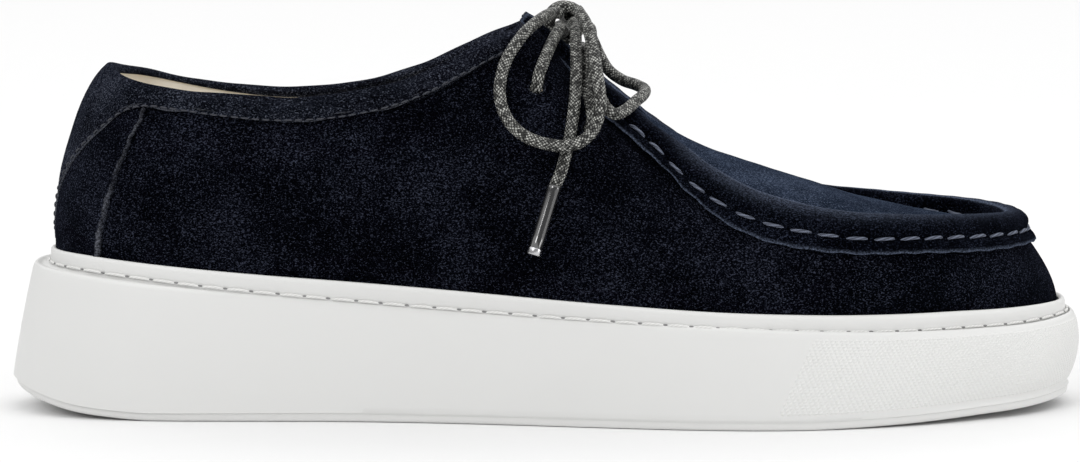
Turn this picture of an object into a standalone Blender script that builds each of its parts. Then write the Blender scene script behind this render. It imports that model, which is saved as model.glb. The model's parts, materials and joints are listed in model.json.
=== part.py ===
"""A moccasin lace-up shoe: a right shoe, standing empty on its sole.

Frame: +X runs from heel to toe, -Y is the outer (lateral) side, +Z is up, and the floor is z = 0.
All sizes below are in millimetres. M turns them into metres where the meshes are made.

Every upper surface is read from one ring of stations that runs round the shoe: station 0 is the back of
the heel, the numbers rise along the lateral side to the toe tip at station TOE, and they go on rising
along the medial side until the heel is reached again at station 2 * TOE.
"""

import math

import bmesh
import bpy
import numpy as np

M = 0.001

# Driving dimensions, in millimetres.
WALL = 2.0  # leather of the upper
GAP = 0.3  # clearance between pieces that touch
CUP_GAP = 0.65  # clearance between the upper and the cup round it
OVERLAY_GAP = 0.45  # clearance under the band and the heel panels
GUSSET_GAP = 1.2  # clearance between the tongue's gussets, the facings and the plug
LIP_THICKNESS = 3.4  # rubber lip round the upper
RIM_HEIGHT = 2.6  # moulded band along the bottom edge of the sole
RIM_STEP = 0.5
BOTTOM_ROUND = [(4.0, 0.0), (1.2, 0.8), (0.0, 2.2)]  # bottom edge: how far in and how far up
RIM_SHOULDER = 0.4  # height of the step from the rim to the wall
WALL_SHARES = (0.0, 0.4, 0.75, 1.0)
INSOLE_THICKNESS = 4.5
PLUG_THICKNESS = 1.8  # leather of the moccasin plug
FLANGE_OFFSET = 0.3  # the plug's flange hangs this far outside the upper
TONGUE_THICKNESS = 1.8
BAND_THICKNESS = 1.2
PANEL_THICKNESS = 0.8
EYELET_RADIUS = 2.1
EYELET_CUT_DEPTH = 8.0
LACE_DIAMETER = 3.4
LACE_STEP = 6.2  # length of the lace's straight pieces
AGLET_DIAMETER = 3.9
AGLET_LENGTH = 18.5
AGLET_GAP = 0.8  # between the lace's end and its aglet
GROOVE_WIDTH = 3.0
GROOVE_DEPTH = 1.6
HANDLE = 0.36  # how far the upper's curve keeps its direction at foot and top, as a share of its reach
FACE_STEP = 0.3  # how far the flange's lower edge stands out
PANEL_MARGIN = 0.07  # stations between the heel panel and the backstay
INSOLE_SECTION = [(0.0, 0.6), (0.25, 0.0), (0.8, 0.1), (1.0, 0.9)]  # share of thickness, extra inset
INSOLE_CLEARANCE = 0.55

# How finely the surfaces are cut, in columns round the shoe.
SOLE_COLUMNS = 60
UPPER_COLUMNS = 84
INSOLE_COLUMNS = 42


def table(names, rows):
    """A dictionary with one numpy column for each name."""
    return dict(zip(names.split(), np.array(rows, float).T))


# Bottom edge of the sole, a row for each station: x, then the half widths of both sides, how far the
# wall's top lies in from that edge, and how far it swells between.
SOLE = table(
    "x lateral medial top_in swell",
    [
        (-153.2, 0.0, 0.0, 7.0, 0.4),
        (-149.6, 14.0, 14.0, 5.2, 0.4),
        (-141.5, 24.8, 24.8, 3.6, 0.3),
        (-126.0, 32.4, 32.2, 2.6, 0.3),
        (-105.0, 35.7, 35.0, 2.0, 0.3),
        (-80.0, 36.3, 34.4, 1.8, 0.3),
        (-54.0, 36.9, 32.8, 1.8, 0.3),
        (-30.0, 39.5, 32.9, 1.8, 0.3),
        (-8.0, 43.3, 35.7, 1.8, 0.3),
        (10.0, 46.9, 39.6, 1.8, 0.3),
        (24.0, 49.6, 43.2, 1.8, 0.3),
        (36.0, 51.6, 46.4, 1.8, 0.3),
        (47.0, 52.8, 49.2, 1.8, 0.3),
        (58.0, 53.4, 51.5, 1.8, 0.3),
        (69.0, 52.8, 52.9, 1.8, 0.3),
        (80.0, 51.0, 53.4, 1.7, 0.3),
        (91.0, 48.0, 52.8, 1.5, 0.4),
        (102.0, 44.0, 50.8, 1.2, 0.6),
        (112.0, 39.3, 47.7, 0.7, 0.9),
        (121.5, 33.8, 43.6, 0.2, 1.1),
        (133.0, 26.6, 38.0, -0.1, 1.3),
        (142.6, 17.4, 30.2, -0.2, 1.4),
        (149.6, 5.4, 20.0, -0.2, 1.8),
        (151.6, -7.3, 7.3, -0.2, 2.0),
    ],
)
TOE = len(SOLE["x"]) - 1

# Heights along the sole: the bottom's lift off the floor, the wall's top edge, the lip's top and the
# cup's inside floor.
HEIGHTS = table(
    "x lift wall lip floor",
    [
        (-153.0, 6.6, 42.0, 45.9, 33.0),
        (-144.0, 4.2, 41.6, 45.7, 33.0),
        (-136.0, 2.3, 40.8, 45.0, 33.0),
        (-121.0, 0.6, 39.4, 43.7, 32.8),
        (-112.0, 0.0, 38.5, 43.0, 32.4),
        (-75.0, 0.0, 35.4, 40.4, 30.0),
        (-52.0, 0.0, 33.7, 39.0, 27.5),
        (-25.0, 0.0, 31.6, 36.9, 24.4),
        (0.0, 0.0, 30.0, 35.0, 22.2),
        (34.0, 0.0, 28.4, 32.8, 20.7),
        (73.0, 0.0, 27.0, 31.4, 20.3),
        (95.0, 0.7, 26.5, 31.2, 20.5),
        (120.0, 2.2, 26.4, 31.2, 21.2),
        (138.0, 3.6, 26.8, 31.2, 21.8),
        (153.0, 5.2, 28.0, 31.3, 22.2),
    ],
)

# The upper's outer surface, a row for each station: its foot on the cup's floor, the flare there (degrees
# outwards), its top edge and the lean there (degrees inwards). Rows 0 to 10 are the collar, 11 to 13 the
# facing's front edge and 14 to the last the seam under the plug's ridge.
UPPER = table(
    "foot_x foot_lateral foot_medial flare x lateral medial z lean",
    [
        (-138.6, 0.0, 0.0, 7, -125.2, 0.0, 0.0, 98.3, 37),
        (-135.8, 12.6, 12.6, 7, -122.3, 9.0, 9.0, 97.5, 33),
        (-128.2, 21.8, 21.8, 7, -115.0, 18.2, 18.2, 95.7, 26),
        (-115.0, 27.3, 27.1, 8, -103.5, 24.8, 24.8, 93.0, 17),
        (-97.0, 30.2, 29.6, 9, -90.0, 29.0, 28.8, 91.0, 11),
        (-76.0, 31.1, 29.0, 10, -72.0, 31.8, 31.2, 89.9, 9),
        (-53.0, 31.5, 27.4, 12, -54.0, 32.0, 31.3, 91.5, 11),
        (-30.0, 33.7, 27.3, 13, -37.0, 31.0, 30.3, 95.8, 16),
        (-8.0, 37.1, 29.9, 13, -23.0, 28.2, 27.5, 102.5, 26),
        (9.0, 40.6, 33.7, 12, -12.0, 22.8, 22.4, 107.5, 38),
        (22.0, 43.2, 37.0, 11, -3.8, 15.0, 15.0, 109.3, 52),
        (33.0, 45.1, 40.0, 10, 4.6, 18.5, 18.5, 99.8, 48),
        (43.0, 46.3, 42.7, 9, 9.5, 24.3, 24.3, 90.5, 46),
        (53.0, 46.9, 45.0, 8, 17.5, 26.8, 26.8, 83.7, 46),
        (63.0, 46.6, 46.5, 7, 28.7, 27.2, 27.2, 78.7, 44),
        (74.0, 45.3, 47.2, 6, 41.2, 35.3, 35.3, 68.9, 37),
        (85.0, 42.9, 47.0, 6, 54.5, 41.2, 41.8, 61.5, 29),
        (96.0, 39.4, 45.5, 6, 69.0, 44.1, 45.3, 57.4, 23),
        (106.0, 35.3, 43.0, 6, 84.1, 42.6, 45.9, 54.9, 21),
        (116.0, 29.8, 39.0, 6, 98.9, 37.2, 43.0, 54.0, 23),
        (127.2, 23.6, 34.6, 7, 112.8, 29.2, 38.4, 53.3, 27),
        (137.2, 15.0, 27.8, 11, 126.4, 17.6, 30.4, 52.7, 31),
        (144.4, 4.4, 18.6, 16, 133.2, 5.4, 19.8, 52.3, 35),
        (146.4, -7.3, 7.3, 19, 135.2, -7.3, 7.3, 52.1, 37),
    ],
)

# The plug's seam, a row for each station from the tongue's tip down to SEAM_JOIN, where it becomes the
# upper's own top edge: the seam's place and lean, the ridge's height, the flange's length, the point of
# the crown that its row runs to and the angle at which the plug leaves the ridge. Rows from SEAM_JOIN on
# leave their place and lean to the upper.
SEAM_JOIN = 14
SEAM_FIRST = 9
PLUG = table(
    "x half z lean ridge flange crown_x crown_y rise",
    [
        (-6.5, 8.6, 111.3, 60, 1.4, 1.6, -5.5, 0.0, 8),
        (1.0, 11.8, 105.6, 60, 2.2, 1.8, 4.0, 0.0, 8),
        (9.0, 15.8, 96.5, 60, 3.4, 2.0, 14.0, 0.0, 8),
        (15.0, 18.6, 90.4, 56, 4.4, 2.4, 22.0, 0.0, 6),
        (21.4, 21.8, 84.7, 51, 4.6, 2.4, 30.0, 0.0, 8),
        (28.7, 27.2, 78.7, 44, 4.6, 5.0, 39.0, 0.0, 14),
        (41.2, 35.3, 68.9, 37, 4.6, 6.6, 53.0, 0.3, 24),
        (54.5, 41.5, 61.5, 29, 4.6, 6.6, 66.0, 0.7, 30),
        (69.0, 44.7, 57.4, 23, 4.6, 6.6, 79.0, 1.4, 30),
        (84.1, 44.2, 54.9, 21, 4.6, 6.6, 91.0, 2.4, 24),
        (98.9, 40.1, 54.0, 23, 4.6, 6.6, 101.0, 3.5, 14),
        (113.0, 34.0, 53.5, 26, 4.6, 6.6, 108.0, 4.5, 7),
        (125.6, 24.5, 53.1, 28, 4.6, 6.6, 112.0, 5.2, 5),
        (133.9, 12.5, 52.8, 30, 4.6, 6.6, 112.0, 5.2, 5),
        (136.8, 0.0, 52.7, 31, 4.6, 6.6, 112.0, 5.2, 5),
    ],
)

# The ridge's roll, from the seam over the top and down inside: shares of the ridge's height, and how far
# each point lies in from the flange's face.
ROLL = [(0.07, 0.0), (0.45, 0.8), (0.85, 1.8), (1.0, 3.2), (0.8, 4.8), (0.2, 6.3)]
SEAM_FACE = 0.4
FLANGE_CLEARANCE = 1.2  # extra room where the flange crosses the facing's corner

# The plug's and tongue's crown, seen from the side.
CROWN = table(
    "x z",
    [
        (-9.0, 115.4),
        (-5.5, 112.0),
        (4.0, 104.6),
        (11.0, 97.1),
        (17.0, 91.9),
        (24.0, 86.4),
        (30.0, 82.1),
        (36.0, 78.6),
        (44.0, 74.8),
        (55.0, 70.7),
        (66.0, 67.3),
        (79.0, 63.1),
        (92.0, 59.1),
        (102.0, 56.7),
        (112.0, 54.9),
        (120.0, 53.7),
    ],
)

# The tongue's gussets under the facings: the ring station of each row and the plug row that it joins.
GUSSET = table(
    "station plug_row",
    [
        (9.5, 0.0),
        (10.1, 0.7),
        (10.7, 1.5),
        (11.3, 2.2),
        (12.0, 2.9),
        (12.7, 3.6),
        (13.3, 4.2),
    ],
)
GUSSET_SHARES = (0.80, 0.86, 0.92, 0.975)

# The collar band's lower edge: a row for each ring station, the height of that edge.
BAND = table(
    "station z",
    [
        (0.0, 47.6),
        (0.18, 53.0),
        (0.45, 61.0),
        (0.8, 68.5),
        (1.2, 74.5),
        (1.65, 80.2),
        (2.05, 84.6),
        (2.5, 86.6),
        (3.0, 86.3),
        (4.0, 84.7),
        (5.0, 83.5),
        (6.0, 85.0),
        (7.0, 89.4),
        (8.0, 96.4),
        (8.8, 101.0),
        (9.5, 104.2),
    ],
)
BAND_END = 9.5
BAND_TOP = 0.995

# The heel panel's front seam: a row for each height, the ring station of that seam.
PANEL = table(
    "z station",
    [
        (47.0, 2.22),
        (55.0, 2.24),
        (62.0, 2.28),
        (70.0, 2.34),
        (77.0, 2.41),
        (83.5, 2.5),
    ],
)
PANEL_STEP = 4.6
PANEL_TOP = 83.6
HEEL_PANEL_FOOT = 46.8

# Eyelets: ring station and the height of the hole on the outer face.
EYELETS = {"upper": (9.62, 92.8), "lower": (11.1, 81.5)}

# Grooves across the tread: x, and how far they stop short of the sole's edge.
GROOVES = [-124, -110, -96, -82, 14, 28, 42, 56, 70, 84, 98]
GROOVE_MARGIN = 11.0

# Routes of the lace, in millimetres. The two crossings pass over the tongue between the eyelets, and the
# others go on from the knot.
BAR_LEAD = np.array([-0.4, 2.6, 3.0])
STRAND_LEAD = np.array([0.8, 2.6, 3.4])
MIRROR = np.array([1, -1, 1])
BAR_OVER = [
    (10.8, -26.0, 93.4),
    (10.4, -20.4, 98.4),
    (10.2, -15.2, 101.7),
    (10.2, -7.0, 101.1),
    (10.2, 7.0, 101.1),
    (10.2, 15.2, 101.7),
    (10.4, 20.4, 98.4),
    (10.8, 26.0, 93.4),
]
STRAND_OVER = [
    (1.4, -20.0, 104.6),
    (3.6, -12.0, 108.0),
    (4.6, -5.0, 107.2),
    (4.6, 5.0, 107.2),
    (3.6, 12.0, 108.0),
    (1.4, 20.0, 104.6),
]
KNOT = (5.0, -1.0, 112.3)
KNOT_RADII = (5.6, 4.8, 3.2)
LOOP_LATERAL = [
    (1.2, -8.2, 112.4),
    (-2.2, -18.0, 110.9),
    (-6.8, -27.2, 107.0),
    (-11.0, -33.8, 100.8),
    (-12.8, -38.4, 94.4),
    (-12.4, -41.6, 88.6),
    (-9.8, -43.8, 83.6),
    (-5.2, -45.2, 80.0),
    (0.4, -45.8, 78.2),
    (5.8, -45.4, 77.8),
    (10.6, -43.8, 79.6),
    (13.6, -41.2, 83.6),
    (14.7, -40.0, 89.2),
    (14.1, -35.2, 95.6),
    (12.9, -27.4, 103.0),
    (11.2, -17.8, 109.6),
    (8.8, -9.6, 113.4),
]
LOOP_MEDIAL = [
    (9.8, 4.4, 110.2),
    (12.9, 6.0, 105.0),
    (15.2, 6.2, 100.0),
    (17.8, 4.0, 95.8),
    (21.6, -0.4, 93.2),
    (25.2, -5.8, 92.2),
    (27.6, -12.0, 91.2),
    (27.0, -18.2, 90.0),
    (24.8, -23.8, 88.6),
    (22.0, -29.0, 86.6),
    (19.0, -33.0, 85.6),
    (16.4, -34.8, 87.4),
    (14.8, -33.8, 90.4),
    (13.7, -31.6, 93.0),
    (12.9, -28.4, 95.9),
    (12.5, -24.6, 99.2),
    (12.3, -20.4, 102.6),
    (12.5, -15.2, 105.9),
    (12.3, -10.0, 108.2),
    (11.0, -6.8, 109.0),
    (9.8, -4.6, 109.6),
]
END_LATERAL = [
    (8.2, -9.6, 108.2),
    (8.2, -13.6, 106.6),
    (8.2, -20.4, 103.0),
    (8.2, -28.0, 96.4),
    (7.6, -35.2, 88.0),
    (6.2, -40.6, 79.4),
    (4.2, -44.4, 71.6),
    (2.0, -46.6, 66.4),
]
AGLET_TIP_LATERAL = (-3.6, -49.8, 48.4)
END_MEDIAL = [
    (6.4, 8.2, 112.2),
    (5.6, 14.6, 111.4),
    (5.2, 22.2, 107.6),
    (5.0, 29.8, 100.6),
    (4.8, 36.2, 91.4),
    (4.6, 41.2, 81.2),
    (4.4, 44.4, 72.2),
    (4.0, 46.2, 66.0),
]
AGLET_TIP_MEDIAL = (3.0, 49.0, 47.8)


# Curves through the tables.


def smooth(values, at):
    """Catmull-Rom through rows at 0, 1, 2 and so on, held straight past both ends."""
    values = np.asarray(values, float)
    last = len(values) - 1
    k = int(min(max(math.floor(at), 0), last - 1))
    f = at - k
    p1, p2 = values[k], values[k + 1]
    p0 = values[k - 1] if k > 0 else 2 * p1 - p2
    p3 = values[k + 2] if k + 2 <= last else 2 * p2 - p1
    a = 2 * p1
    b = p2 - p0
    c = 2 * p0 - 5 * p1 + 4 * p2 - p3
    d = 3 * p1 - p0 - 3 * p2 + p3
    return 0.5 * (a + b * f + c * f * f + d * f**3)


def along(columns, key, name, at):
    """A column's value where the key column equals at, on a curve through the rows."""
    keys = columns[key]
    place = float(np.interp(at, keys, np.arange(len(keys))))
    k = min(int(place), len(keys) - 2)
    x0, x1 = keys[k], keys[k + 1]
    y0, y1 = columns[name][k], columns[name][k + 1]
    slopes = np.gradient(columns[name], keys)
    h = x1 - x0
    f = min(max((at - x0) / h, 0.0), 1.0)
    rise = y0 * (1 + 2 * f) * (1 - f) ** 2 + y1 * f * f * (3 - 2 * f)
    return float(rise + h * (slopes[k] * f * (1 - f) ** 2 - slopes[k + 1] * f * f * (1 - f)))


def ring_column(lateral, medial):
    """Rows of the lateral side, heel to toe, and then of the medial side, toe to heel."""
    return np.concatenate([lateral, medial[-2:0:-1]])


def ring_value(column, s):
    """A periodic Catmull-Rom through a ring column, at station s."""
    n = len(column)
    k = math.floor(s)
    rows = np.array([column[(k + i) % n] for i in (-1, 0, 1, 2)])
    return smooth(rows, 1 + s - k)


def ring_points(columns, x, lateral, medial):
    """Ring columns of x and y for one line of a table."""
    return (
        ring_column(columns[x], columns[x]),
        ring_column(-columns[lateral], columns[medial]),
    )


SOLE_X, SOLE_Y = ring_points(SOLE, "x", "lateral", "medial")
FOOT_X, FOOT_Y = ring_points(UPPER, "foot_x", "foot_lateral", "foot_medial")
TOP_X, TOP_Y = ring_points(UPPER, "x", "lateral", "medial")
TOP_Z = ring_column(UPPER["z"], UPPER["z"])
FLARE = ring_column(UPPER["flare"], UPPER["flare"])
LEAN = ring_column(UPPER["lean"], UPPER["lean"])
TOP_IN = ring_column(SOLE["top_in"], SOLE["top_in"])
SWELL = ring_column(SOLE["swell"], SOLE["swell"])


def unit(vector):
    return vector / max(float(np.linalg.norm(vector)), 1e-9)


def outward(xs, ys, s):
    """The level direction that points out of a ring line at station s."""
    step = 0.05
    dx = ring_value(xs, s + step) - ring_value(xs, s - step)
    dy = ring_value(ys, s + step) - ring_value(ys, s - step)
    return unit(np.array([dy, -dx, 0.0]))


def height(name, x):
    return max(along(HEIGHTS, "x", name, x), 0.0)


# The upper's outer surface.


def upper_foot(s):
    x, y = ring_value(FOOT_X, s), ring_value(FOOT_Y, s)
    return np.array([x, y, height("floor", x) + GAP])


def upper_top(s):
    return np.array([ring_value(TOP_X, s), ring_value(TOP_Y, s), ring_value(TOP_Z, s)])


def upper_point(s, v):
    """The outer surface at ring station s, from v = 0 at the foot to v = 1 at the top edge."""
    foot, top = upper_foot(s), upper_top(s)
    out = outward(FOOT_X, FOOT_Y, s)
    side = np.array([-out[1], out[0], 0.0])
    span = top - foot
    reach = float(np.linalg.norm(span))
    drift = side * float(span @ side) / reach
    flare = math.radians(ring_value(FLARE, s))
    lean = math.radians(ring_value(LEAN, s))
    rise = out * math.sin(flare) + np.array([0, 0, math.cos(flare)]) + drift
    fall = -out * math.sin(lean) + np.array([0, 0, math.cos(lean)]) + drift
    p1 = foot + rise * HANDLE * reach
    p2 = top - fall * HANDLE * reach
    w = 1 - v
    return foot * w**3 + p1 * 3 * w * w * v + p2 * 3 * w * v * v + top * v**3


def upper_normal(s, v):
    """The outer surface's normal, pointing out of the shoe."""
    ds = upper_point(s + 0.04, v) - upper_point(s - 0.04, v)
    low, high = max(v - 0.01, 0.0), min(v + 0.01, 1.0)
    dv = upper_point(s, high) - upper_point(s, low)
    return unit(np.cross(ds, dv))


def upper_offset(s, v, out):
    """A point that far outside the upper's outer surface."""
    return upper_point(s, v) + upper_normal(s, v) * out


def upper_share(s, z):
    """The v at which the upper reaches height z at station s."""
    low, high = 0.0, 1.0
    for _ in range(24):
        middle = (low + high) / 2
        if upper_point(s, middle)[2] < z:
            low = middle
        else:
            high = middle
    return (low + high) / 2


# Meshes.

shoe = None
cutters = None


def clear_scene():
    for item in list(bpy.data.objects):
        bpy.data.objects.remove(item, do_unlink=True)


def new_collection(name):
    made = bpy.data.collections.new(name)
    bpy.context.scene.collection.children.link(made)
    return made


def material(name, colour, roughness, metallic=0.0):
    made = bpy.data.materials.new(name)
    made.use_nodes = True
    shader = made.node_tree.nodes["Principled BSDF"]
    shader.inputs["Base Color"].default_value = (*colour, 1.0)
    shader.inputs["Roughness"].default_value = roughness
    shader.inputs["Metallic"].default_value = metallic
    return made


def grid_mesh(name, rows, wrap=False):
    """A sheet of quads through rows of points in millimetres; wrap joins the last row to the first."""
    bm = bmesh.new()
    verts = [[bm.verts.new([c * M for c in p]) for p in row] for row in rows]
    count = len(verts)
    for i in range(count if wrap else count - 1):
        one, two = verts[i], verts[(i + 1) % count]
        for j in range(len(one) - 1):
            bm.faces.new((one[j], two[j], two[j + 1], one[j + 1]))
    mesh = bpy.data.meshes.new(name)
    bm.to_mesh(mesh)
    bm.free()
    return mesh


def weld_and_turn(bm):
    """Merges points that meet, drops faces without area and turns the rest outwards."""
    bmesh.ops.remove_doubles(bm, verts=bm.verts, dist=0.002 * M)
    bmesh.ops.dissolve_degenerate(bm, edges=bm.edges, dist=0.001 * M)
    bmesh.ops.recalc_face_normals(bm, faces=bm.faces)


def place(name, mesh, look, collection=None):
    item = bpy.data.objects.new(name, mesh)
    (collection or shoe).objects.link(item)
    if look is not None:
        mesh.materials.append(look)
    return item


def shade(item, angle=40):
    item.data.shade_smooth()
    item.data.set_sharp_from_angle(angle=math.radians(angle))


def thicken(item, thickness, side):
    """Makes a shell: side 1 grows along the normals and -1 against them."""
    modifier = item.modifiers.new("wall", "SOLIDIFY")
    modifier.thickness = thickness * M
    modifier.offset = side
    modifier.use_even_offset = False
    return modifier


def cut(item, cutter):
    modifier = item.modifiers.new("cut", "BOOLEAN")
    modifier.operation = "DIFFERENCE"
    modifier.solver = "EXACT"
    modifier.object = cutter
    cutter.hide_render = True
    cutter.display_type = "WIRE"


def ring_stations(count):
    """Stations spread evenly round the ring; an even count has one at the toe tip."""
    return [2 * TOE * i / count for i in range(count)]


def stations(first, last, step):
    count = max(1, round((last - first) / step))
    return [first + (last - first) * i / count for i in range(count + 1)]


def ladder(lateral, medial, height_at, rungs=4):
    """Rows across the shoe between matching points of both sides, at the height of each x."""
    rows = []
    for a, b in zip(lateral, medial):
        row = []
        for k in range(rungs + 1):
            p = a + (b - a) * k / rungs
            z = p[2] if k in (0, rungs) or np.allclose(a, b) else height_at(p[0])
            row.append((p[0], p[1], z))
        rows.append(row)
    return rows


def build_ring_solid(name, profiles, bottom_at, top_at):
    """Closes a ring of profiles, which run from the bottom's edge to the top's, with two ladders."""
    half = len(profiles) // 2
    lateral = list(range(half + 1))
    medial = [-i % len(profiles) for i in lateral]
    bm = bmesh.new()

    def add(rows, wrap):
        verts = [[bm.verts.new([c * M for c in p]) for p in row] for row in rows]
        count = len(verts)
        for i in range(count if wrap else count - 1):
            one, two = verts[i], verts[(i + 1) % count]
            for j in range(len(one) - 1):
                bm.faces.new((one[j], two[j], two[j + 1], one[j + 1]))

    add(profiles, True)
    for end, at in ((0, bottom_at), (-1, top_at)):
        edge_a = [np.array(profiles[i][end]) for i in lateral]
        edge_b = [np.array(profiles[i][end]) for i in medial]
        add(ladder(edge_a, edge_b, at), False)
    weld_and_turn(bm)
    mesh = bpy.data.meshes.new(name)
    bm.to_mesh(mesh)
    bm.free()
    return mesh


# The pieces.


def sole_profile(s):
    """The cup's section at one station, from the bottom's edge up the wall, over the lip and down inside."""
    x, y = ring_value(SOLE_X, s), ring_value(SOLE_Y, s)
    out = outward(SOLE_X, SOLE_Y, s)
    lift, wall, lip = height("lift", x), height("wall", x), height("lip", x)
    edge = np.array([x, y, 0.0])
    top_in = ring_value(TOP_IN, s)
    swell = ring_value(SWELL, s)

    def at(inset, z):
        return edge - out * inset + np.array([0, 0, z])

    points = [at(inset, lift + up) for inset, up in BOTTOM_ROUND]
    rim = points[-1][2] + RIM_HEIGHT
    points.append(at(0.0, rim))
    base = rim + RIM_SHOULDER
    for share in WALL_SHARES:
        bulge = 4 * share * (1 - share) * swell
        points.append(at(RIM_STEP + (top_in - RIM_STEP) * share - bulge, base + (wall - base) * share))
    lip_out = outward(FOOT_X, FOOT_Y, s)

    def suede(z, off):
        p = upper_point(s, upper_share(s, z)) + lip_out * off
        return np.array([p[0], p[1], z])

    points.append(suede(wall + 0.5, LIP_THICKNESS + 0.1))
    points.append(suede(lip - 1.3, LIP_THICKNESS))
    points.append(suede(lip, LIP_THICKNESS - 1.2))
    points.append(suede(lip - 0.3, CUP_GAP + 0.5))
    points.append(suede(lip - 1.0, CUP_GAP))
    foot = upper_foot(s)
    points.append(suede(foot[2] + 0.55 * (lip - foot[2]), CUP_GAP))
    points.append(np.array([foot[0], foot[1], height("floor", foot[0])]) + lip_out * CUP_GAP)
    return points


def make_cupsole(look):
    ring = ring_stations(SOLE_COLUMNS)
    profiles = [sole_profile(s) for s in ring]
    mesh = build_ring_solid("cupsole", profiles, lambda x: height("lift", x), lambda x: height("floor", x))
    item = place("cupsole", mesh, look)
    cut(item, groove_cutter())
    shade(item, 50)
    return item


def groove_cutter():
    """Rounded grooves across the tread, joined in one cutter."""
    bm = bmesh.new()
    keys = SOLE["x"]
    for x in GROOVES:
        low = -float(np.interp(x, keys, SOLE["lateral"])) + GROOVE_MARGIN
        high = float(np.interp(x, keys, SOLE["medial"])) - GROOVE_MARGIN
        made = bmesh.ops.create_cube(bm, size=1.0)["verts"]
        for v in made:
            v.co.x = (x + v.co.x * GROOVE_WIDTH) * M
            v.co.y = ((low + high) / 2 + v.co.y * (high - low)) * M
            top = GROOVE_DEPTH + height("lift", x)
            v.co.z = (top if v.co.z > 0 else -GROOVE_DEPTH) * M
    mesh = bpy.data.meshes.new("tread_grooves")
    bm.to_mesh(mesh)
    bm.free()
    return place("tread_grooves", mesh, None, cutters)


def make_insole(look):
    ring = ring_stations(INSOLE_COLUMNS)
    inset = WALL + INSOLE_CLEARANCE
    profiles = []
    for s in ring:
        out = outward(FOOT_X, FOOT_Y, s)
        foot = upper_foot(s)
        row = []
        for share, extra in INSOLE_SECTION:
            z = foot[2] + INSOLE_THICKNESS * share
            p = upper_point(s, upper_share(s, z)) - out * (inset + extra)
            row.append(np.array([p[0], p[1], height("floor", p[0]) + GAP + INSOLE_THICKNESS * share]))
        profiles.append(row)

    def low(x):
        return height("floor", x) + GAP

    def high(x):
        return low(x) + INSOLE_THICKNESS

    item = place("insole", build_ring_solid("insole", profiles, low, high), look)
    shade(item, 50)
    return item


def make_upper(look):
    ring = ring_stations(UPPER_COLUMNS)
    shares = [0.0, 0.12, 0.28, 0.46, 0.66, 0.84, 1.0]
    rows = [[upper_point(s, v) for v in shares] for s in ring]
    item = place("upper", grid_mesh("upper", rows, wrap=True), look)
    thicken(item, WALL, -1)
    for cutter in eyelet_cutters():
        cut(item, cutter)
    shade(item, 50)
    return item


def eyelet_frame(name, side):
    """An eyelet's centre on the outer face and the direction out of it."""
    station, z = EYELETS[name]
    s = station if side < 0 else 2 * TOE - station
    v = upper_share(s, z)
    return upper_point(s, v), upper_normal(s, v)


def eyelet_cutters():
    made = []
    for name in EYELETS:
        for side, label in ((-1, "lateral"), (1, "medial")):
            centre, out = eyelet_frame(name, side)
            bm = bmesh.new()
            bmesh.ops.create_cone(
                bm,
                cap_ends=True,
                segments=16,
                radius1=EYELET_RADIUS * M,
                radius2=EYELET_RADIUS * M,
                depth=EYELET_CUT_DEPTH * M,
            )
            mesh = bpy.data.meshes.new("eyelet_hole")
            bm.to_mesh(mesh)
            bm.free()
            item = place(f"eyelet_{name}_{label}", mesh, None, cutters)
            item.location = [c * M for c in centre]
            up = np.array([0, 0, 1.0])
            axis = np.cross(up, out)
            angle = math.acos(float(up @ out))
            item.rotation_mode = "AXIS_ANGLE"
            item.rotation_axis_angle = (angle, *unit(axis))
            made.append(item)
    return made


def crown_point(x, y=0.0):
    return np.array([x, y, along(CROWN, "x", "z", x)])


def crown_slope(x):
    return (along(CROWN, "x", "z", x + 0.5) - along(CROWN, "x", "z", x - 0.5)) / 1.0


def bridge(start, leave, end, slope, count):
    """Points from start, leaving along a direction, to a crown point met level across the shoe."""
    flat = end - start
    span = float(np.linalg.norm(flat))
    level = unit(np.array([flat[0], flat[1], 0.0]))
    arrive = unit(np.array([level[0], level[1], slope * level[0]]))
    a, b = leave * span, arrive * span
    out = []
    for k in range(1, count + 1):
        f = k / count
        p = start * (1 + 2 * f) * (1 - f) ** 2 + end * f * f * (3 - 2 * f)
        out.append(p + a * f * (1 - f) ** 2 - b * f * f * (1 - f))
    return out


def seam_frame(r, side):
    """The seam at plug row r: its place, the direction up the upper's surface and the one out of it."""
    station = SEAM_FIRST + r

    def seam(at):
        if SEAM_FIRST + at >= SEAM_JOIN:
            return upper_top(ring_station(SEAM_FIRST + at, side))
        half = smooth(PLUG["half"], at)
        return np.array([smooth(PLUG["x"], at), side * half, smooth(PLUG["z"], at)])

    here = seam(r)
    run = unit(seam(r + 0.05) - seam(r - 0.05)) if r > 0.05 else unit(seam(r + 0.1) - here)
    if station >= SEAM_JOIN:
        out = upper_normal(ring_station(station, side), 1.0)
    else:
        lean = math.radians(smooth(PLUG["lean"], r))
        level = unit(np.array([-0.45, side * 0.9, 0.0]))
        fall = -level * math.sin(lean) + np.array([0, 0, math.cos(lean)])
        out = unit(np.cross(run, fall))
        if out @ level < 0:
            out = -out
        share = min(max(station - (SEAM_JOIN - 1), 0.0), 1.0)
        joined = upper_normal(ring_station(SEAM_JOIN, side), 1.0)
        out = unit(out * (1 - share) + joined * share)
    up = unit(np.cross(out, run))
    if up[2] < 0:
        up = -up
    return here, up, out


def ring_station(station, side):
    return station if side < 0 else 2 * TOE - station


def plug_fullness(r):
    """How full the ridge is at plug row r: 1 round the toe, less beside the tongue."""
    return smooth(PLUG["ridge"], r) / PLUG["ridge"][-1]


def plug_face(r):
    """How far the flange's outer face stands out of the seam."""
    return SEAM_FACE + (FLANGE_OFFSET + PLUG_THICKNESS - SEAM_FACE) * plug_fullness(r)


def plug_section(r):
    """The ridge's roll at plug row r: up along the upper and out of it, for each point."""
    ridge, full, face = smooth(PLUG["ridge"], r), plug_fullness(r), plug_face(r)
    return [(up * ridge, face - inward * full) for up, inward in ROLL]


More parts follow.
